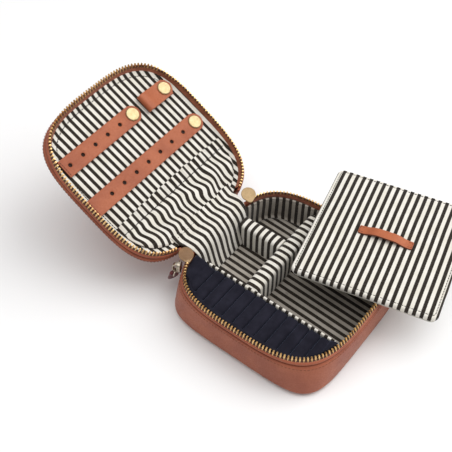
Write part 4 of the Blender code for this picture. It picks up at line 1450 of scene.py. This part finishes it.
def build_tab():
    """The tab curls up at its fold and snaps down flat at its free end."""
    root = Vector(JOINTS["tab_hinge"]["pos_m"])
    fold = TO_LID @ root
    low, high = from_lid("snap_cap_tab")
    snap_at = (low.x + high.x) / 2 - fold.x
    tab_low, tab_high = from_lid("necklace_tab")
    half = (tab_high.y - tab_low.y) / 2
    level = low.z - 0.3 * MM - fold.z + 1.7 * MM
    radius = 2.75 * MM
    curl = arc((0.2 * MM, 0.2 * MM), radius, 262, 84, 13)
    line = [(x, 0, z) for x, z in curl]
    line += [(3.4 * MM, 0, 2.75 * MM), (7.0 * MM, 0, level + 1.35 * MM)]
    line += [(snap_at - 7.5 * MM, 0, level + 0.25 * MM), (snap_at - 4.5 * MM, 0, level)]
    line += [(snap_at + 2 * MM, 0, level), (snap_at + half, 0, level)]
    path = curve_through(line, 3)
    bm = bmesh.new()
    rows = []
    for point in path:
        wide = 1.0
        if point.x > snap_at:
            wide = nose_width(point.x - snap_at, half)
        rows.append([bm.verts.new((point.x, half * wide * (2 * k / 10 - 1), point.z)) for k in range(11)])
    strip(bm, rows)
    mesh = mesh_from(bm, "tab_leather")
    top_face = max(mesh.polygons, key=lambda polygon: polygon.center.x)
    if top_face.normal.z < 0:
        mesh.flip_normals()
    place = Matrix.Translation(root) @ LID_TURN
    leather_strip("tab_leather", mesh, place, "tab", "necklace_tab", thick=1.6 * MM)
    build_cap("tab", place @ Matrix.Translation((snap_at, 0, level - 1.7 * MM)), "tab")

    under_low, under_high = from_lid("tab_lower_layer")
    length = under_high.x - under_low.x
    mesh = strap_sheet("tab_under_leather", length, half, [], 1 * MM, 12 * MM, nose=False)
    face_up(mesh)
    place = ON_HINGE @ Matrix.Translation((under_low.x, fold.y, under_high.z))
    leather_strip("tab_under_leather", mesh, place, "lid", "tab_lower_layer", thick=1.3 * MM, bevel=0.3 * MM)
    for which in ("long", "short", "tab"):
        node = frame["nodes"]["snap_stud_" + which]
        node.data.materials.clear()
        node.data.materials.append(MATERIALS["cap"])


# Loose panel

def rounded_square(half, corner, steps):
    points = []
    for sign_x, sign_y, start in ((1, 1, 0), (-1, 1, 90), (-1, -1, 180), (1, -1, 270)):
        centre = (sign_x * (half - corner), sign_y * (half - corner))
        points += arc(centre, corner, start, start + 90, steps)
    return points


def square_ring(half, corner, height, count=40):
    """Points round a rounded square, evenly spread along its sides, so rings nest."""
    outline = rounded_square(half, corner, 6)
    points = []
    total = len(outline)
    for k in range(total):
        here, there = Vector(outline[k]), Vector(outline[(k + 1) % total])
        long_side = (there - here).length > half
        for i in range(count if long_side else 1):
            point = here.lerp(there, i / (count if long_side else 1))
            points.append(Vector((point.x, point.y, height)))
    return points


def build_panel():
    low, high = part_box("panel_cover")
    middle = (low + high) / 2
    turn = math.radians(13.6)      # the panel lies askew on the case
    half = (high.x - low.x) / 2 / (math.cos(turn) + math.sin(turn)) + 0.9 * MM
    place = Matrix.Translation((middle.x, middle.y, low.z)) @ Matrix.Rotation(turn, 4, "Z")
    tall = high.z - low.z
    profile = [(1.2, -0.05), (0.25, 0.25), (-0.1, 1.0), (-0.15, 2.0), (0.05, 3.0), (0.6, 3.75)]
    profile += [(1.4, 4.05), (1.95, 3.95), (2.3, 3.72), (2.65, 3.95), (3.4, 4.2), (5, 4.35)]
    profile += [(8, 4.5), (13, 4.65), (20, 4.8), (28, 4.85), (36, 4.85), (43, 4.85), (47, 4.85)]
    scale = tall / (4.2 * MM)
    rows = []
    for inset, height in profile:
        size = half - inset * MM
        corner = max(0.6 * MM, 5.0 * MM - max(inset, 0) * MM * 0.9)
        row = square_ring(size, min(corner, size * 0.9), height * MM * scale)
        for point in row:
            if inset > 2.3:
                point.z += 0.28 * MM * ripple(point.x, point.y, 0, 16 * MM, 1.9)
                point.z += 0.12 * MM * ripple(point.x, point.y, 0, 6 * MM, 4.9)
            else:
                point.x += 0.22 * MM * ripple(point.x, point.y, 0, 15 * MM, 7.7)
                point.y += 0.22 * MM * ripple(point.y, point.x, 0, 15 * MM, 3.7)
        rows.append(row)
    count = len(rows[0])
    flats = []
    for row in rows:
        flats.append([(p.y + 0.25 * MM * ripple(p.x, p.y, 0, 26 * MM, 6.1), p.x) for p in row])

    def cloth(i, j):
        across, along = flats[i][j % count]
        return across + 1.9 * MM, along

    mesh = grid("panel_pad", rows, cloth, ring=True, caps=True)
    mesh.transform(place)
    pad = new_object("panel_pad", mesh, "striped", "panel", "ticking", "panel_cover")
    edge = square_ring(half - 2.3 * MM, 3.0 * MM, 3.86 * MM * scale)
    path = [place @ p for p in edge + edge[:1]]
    stitches("panel_edge_stitches", path, [Vector((0, 0, 1))] * len(path), "panel", "ticking", "thread",
             2.3 * MM, 0.8, 0.24 * MM)

    board_low, board_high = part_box("panel_board")
    rise = board_high.z - low.z
    drop = board_low.z - low.z
    rows = []
    under = [(3.0, drop), (1.2, drop), (0.8, drop + 0.3 * MM), (0.8, rise - 0.2 * MM), (1.1, rise), (3, rise)]
    for inset, height in under:
        size = half - inset * MM
        rows.append([place @ p for p in square_ring(size, 4.4 * MM, height)])
    mesh = grid("panel_underside", rows, ring=True, caps=True)
    new_object("panel_underside", mesh, "elastic", "panel", "board", "panel_board")

    build_handle(place)


def build_handle(place):
    low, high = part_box("panel_handle")
    half = 18.9 * MM
    rise = high.z - low.z - 4.2 * MM
    foot = low.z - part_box("panel_cover")[0].z + 0.55 * MM
    bm = bmesh.new()
    rows = []
    steps = 44
    for i in range(steps + 1):
        share = 2 * i / steps - 1
        bend = max(0.0, min(1.0, (0.86 - abs(share)) / 0.58))
        z = foot + rise * (0.5 - 0.5 * math.cos(math.pi * bend))
        end = max(0.0, (abs(share) - 0.955) / 0.045)
        wide = 3.4 * MM * (1 - 0.18 * end ** 2)
        rows.append([bm.verts.new((wide * (2 * k / 8 - 1), half * share, z)) for k in range(9)])
    strip(bm, rows)
    mesh = mesh_from(bm, "panel_pull")
    face_up(mesh)
    top = place @ Matrix.Translation((0, 0, 1.1 * MM))
    leather_strip("panel_pull", mesh, top, "panel", "panel_handle", thick=1.5 * MM, bevel=0.35 * MM,
                  material=("handle", "edge"))
    places = []
    sewn = [(-2.1, 17.8, 90), (2.1, 17.8, 90), (-2.1, 16.1, 90), (2.1, 16.1, 90), (-1.1, 18.3, 0), (1.1, 18.3, 0)]
    for end in (-1, 1):
        for x, y, spin in sewn:
            at = place @ Vector((x * MM, end * y * MM, foot + 1.14 * MM))
            along = place.to_3x3() @ Vector((math.cos(math.radians(spin)), math.sin(math.radians(spin)), 0))
            places.append(frame_at(at, along, (0, 0, 1)))
    mesh = repeat("panel_pull_stitches", capsule(1.3 * MM, 0.2 * MM), places)
    new_object("panel_pull_stitches", mesh, "tan thread", "panel", "tan_leather")


# Stage

def build_stage():
    floor = bpy.data.meshes.new("floor")
    reach = 4.0
    corners = [(-reach, -reach, 0), (reach, -reach, 0), (reach, reach, 0), (-reach, reach, 0)]
    floor.from_pydata(corners, [], [(0, 1, 2, 3)])
    piece = bpy.data.objects.new("floor", floor)
    bpy.context.scene.collection.objects.link(piece)
    s = Shader("pale floor", 0.8)
    s.set("Specular IOR Level", 0.1)
    floor.materials.append(s.finish((0.86, 0.86, 0.86)))

    world = bpy.data.worlds.new("studio")
    world.use_nodes = True
    world.node_tree.nodes["Background"].inputs["Color"].default_value = (1, 1, 1, 1)
    world.node_tree.nodes["Background"].inputs["Strength"].default_value = 0.52
    bpy.context.scene.world = world
    for name, place, size, power in (
        ("key", (0.62, -0.52, 1.05), 1.2, 13.0),
        ("overhead", (-0.1, 0.1, 1.3), 1.2, 7.0),
    ):
        light = bpy.data.lights.new(name, "AREA")
        light.size = size
        light.energy = power
        lamp = bpy.data.objects.new(name, light)
        lamp.location = place
        aim = Vector((0.02, 0.03, 0.02)) - Vector(place)
        lamp.rotation_euler = aim.to_track_quat("-Z", "Y").to_euler()
        bpy.context.scene.collection.objects.link(lamp)

    camera = bpy.data.cameras.new("camera")
    camera.sensor_width = 36
    camera.lens = 70.3
    camera.clip_start = 0.01
    eye = bpy.data.objects.new("camera", camera)
    eye.location = (-0.3046, -0.1833, 0.5017)
    aim = Vector((0.0134, 0.0632, 0.0186)) - eye.location
    eye.rotation_euler = aim.to_track_quat("-Z", "Y").to_euler()
    bpy.context.scene.collection.objects.link(eye)
    bpy.context.scene.camera = eye
    bpy.context.scene.view_settings.view_transform = "Standard"


build_shells()
build_zip("base", BASE_SHAPE, ON_RIM, ZIP_START, ZIP_END, 1)
build_zip("lid", LID_SHAPE, ON_LID, -ZIP_END, -ZIP_START, 0)
build_lining()
build_ring_tray()
build_dividers()
build_hinge()
build_slider()
build_lid_lining()
build_pocket()
build_straps()
build_tab()
build_panel()
for hidden in ("base_floor_board", "base_wall_board"):
    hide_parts(hidden)
build_stage()
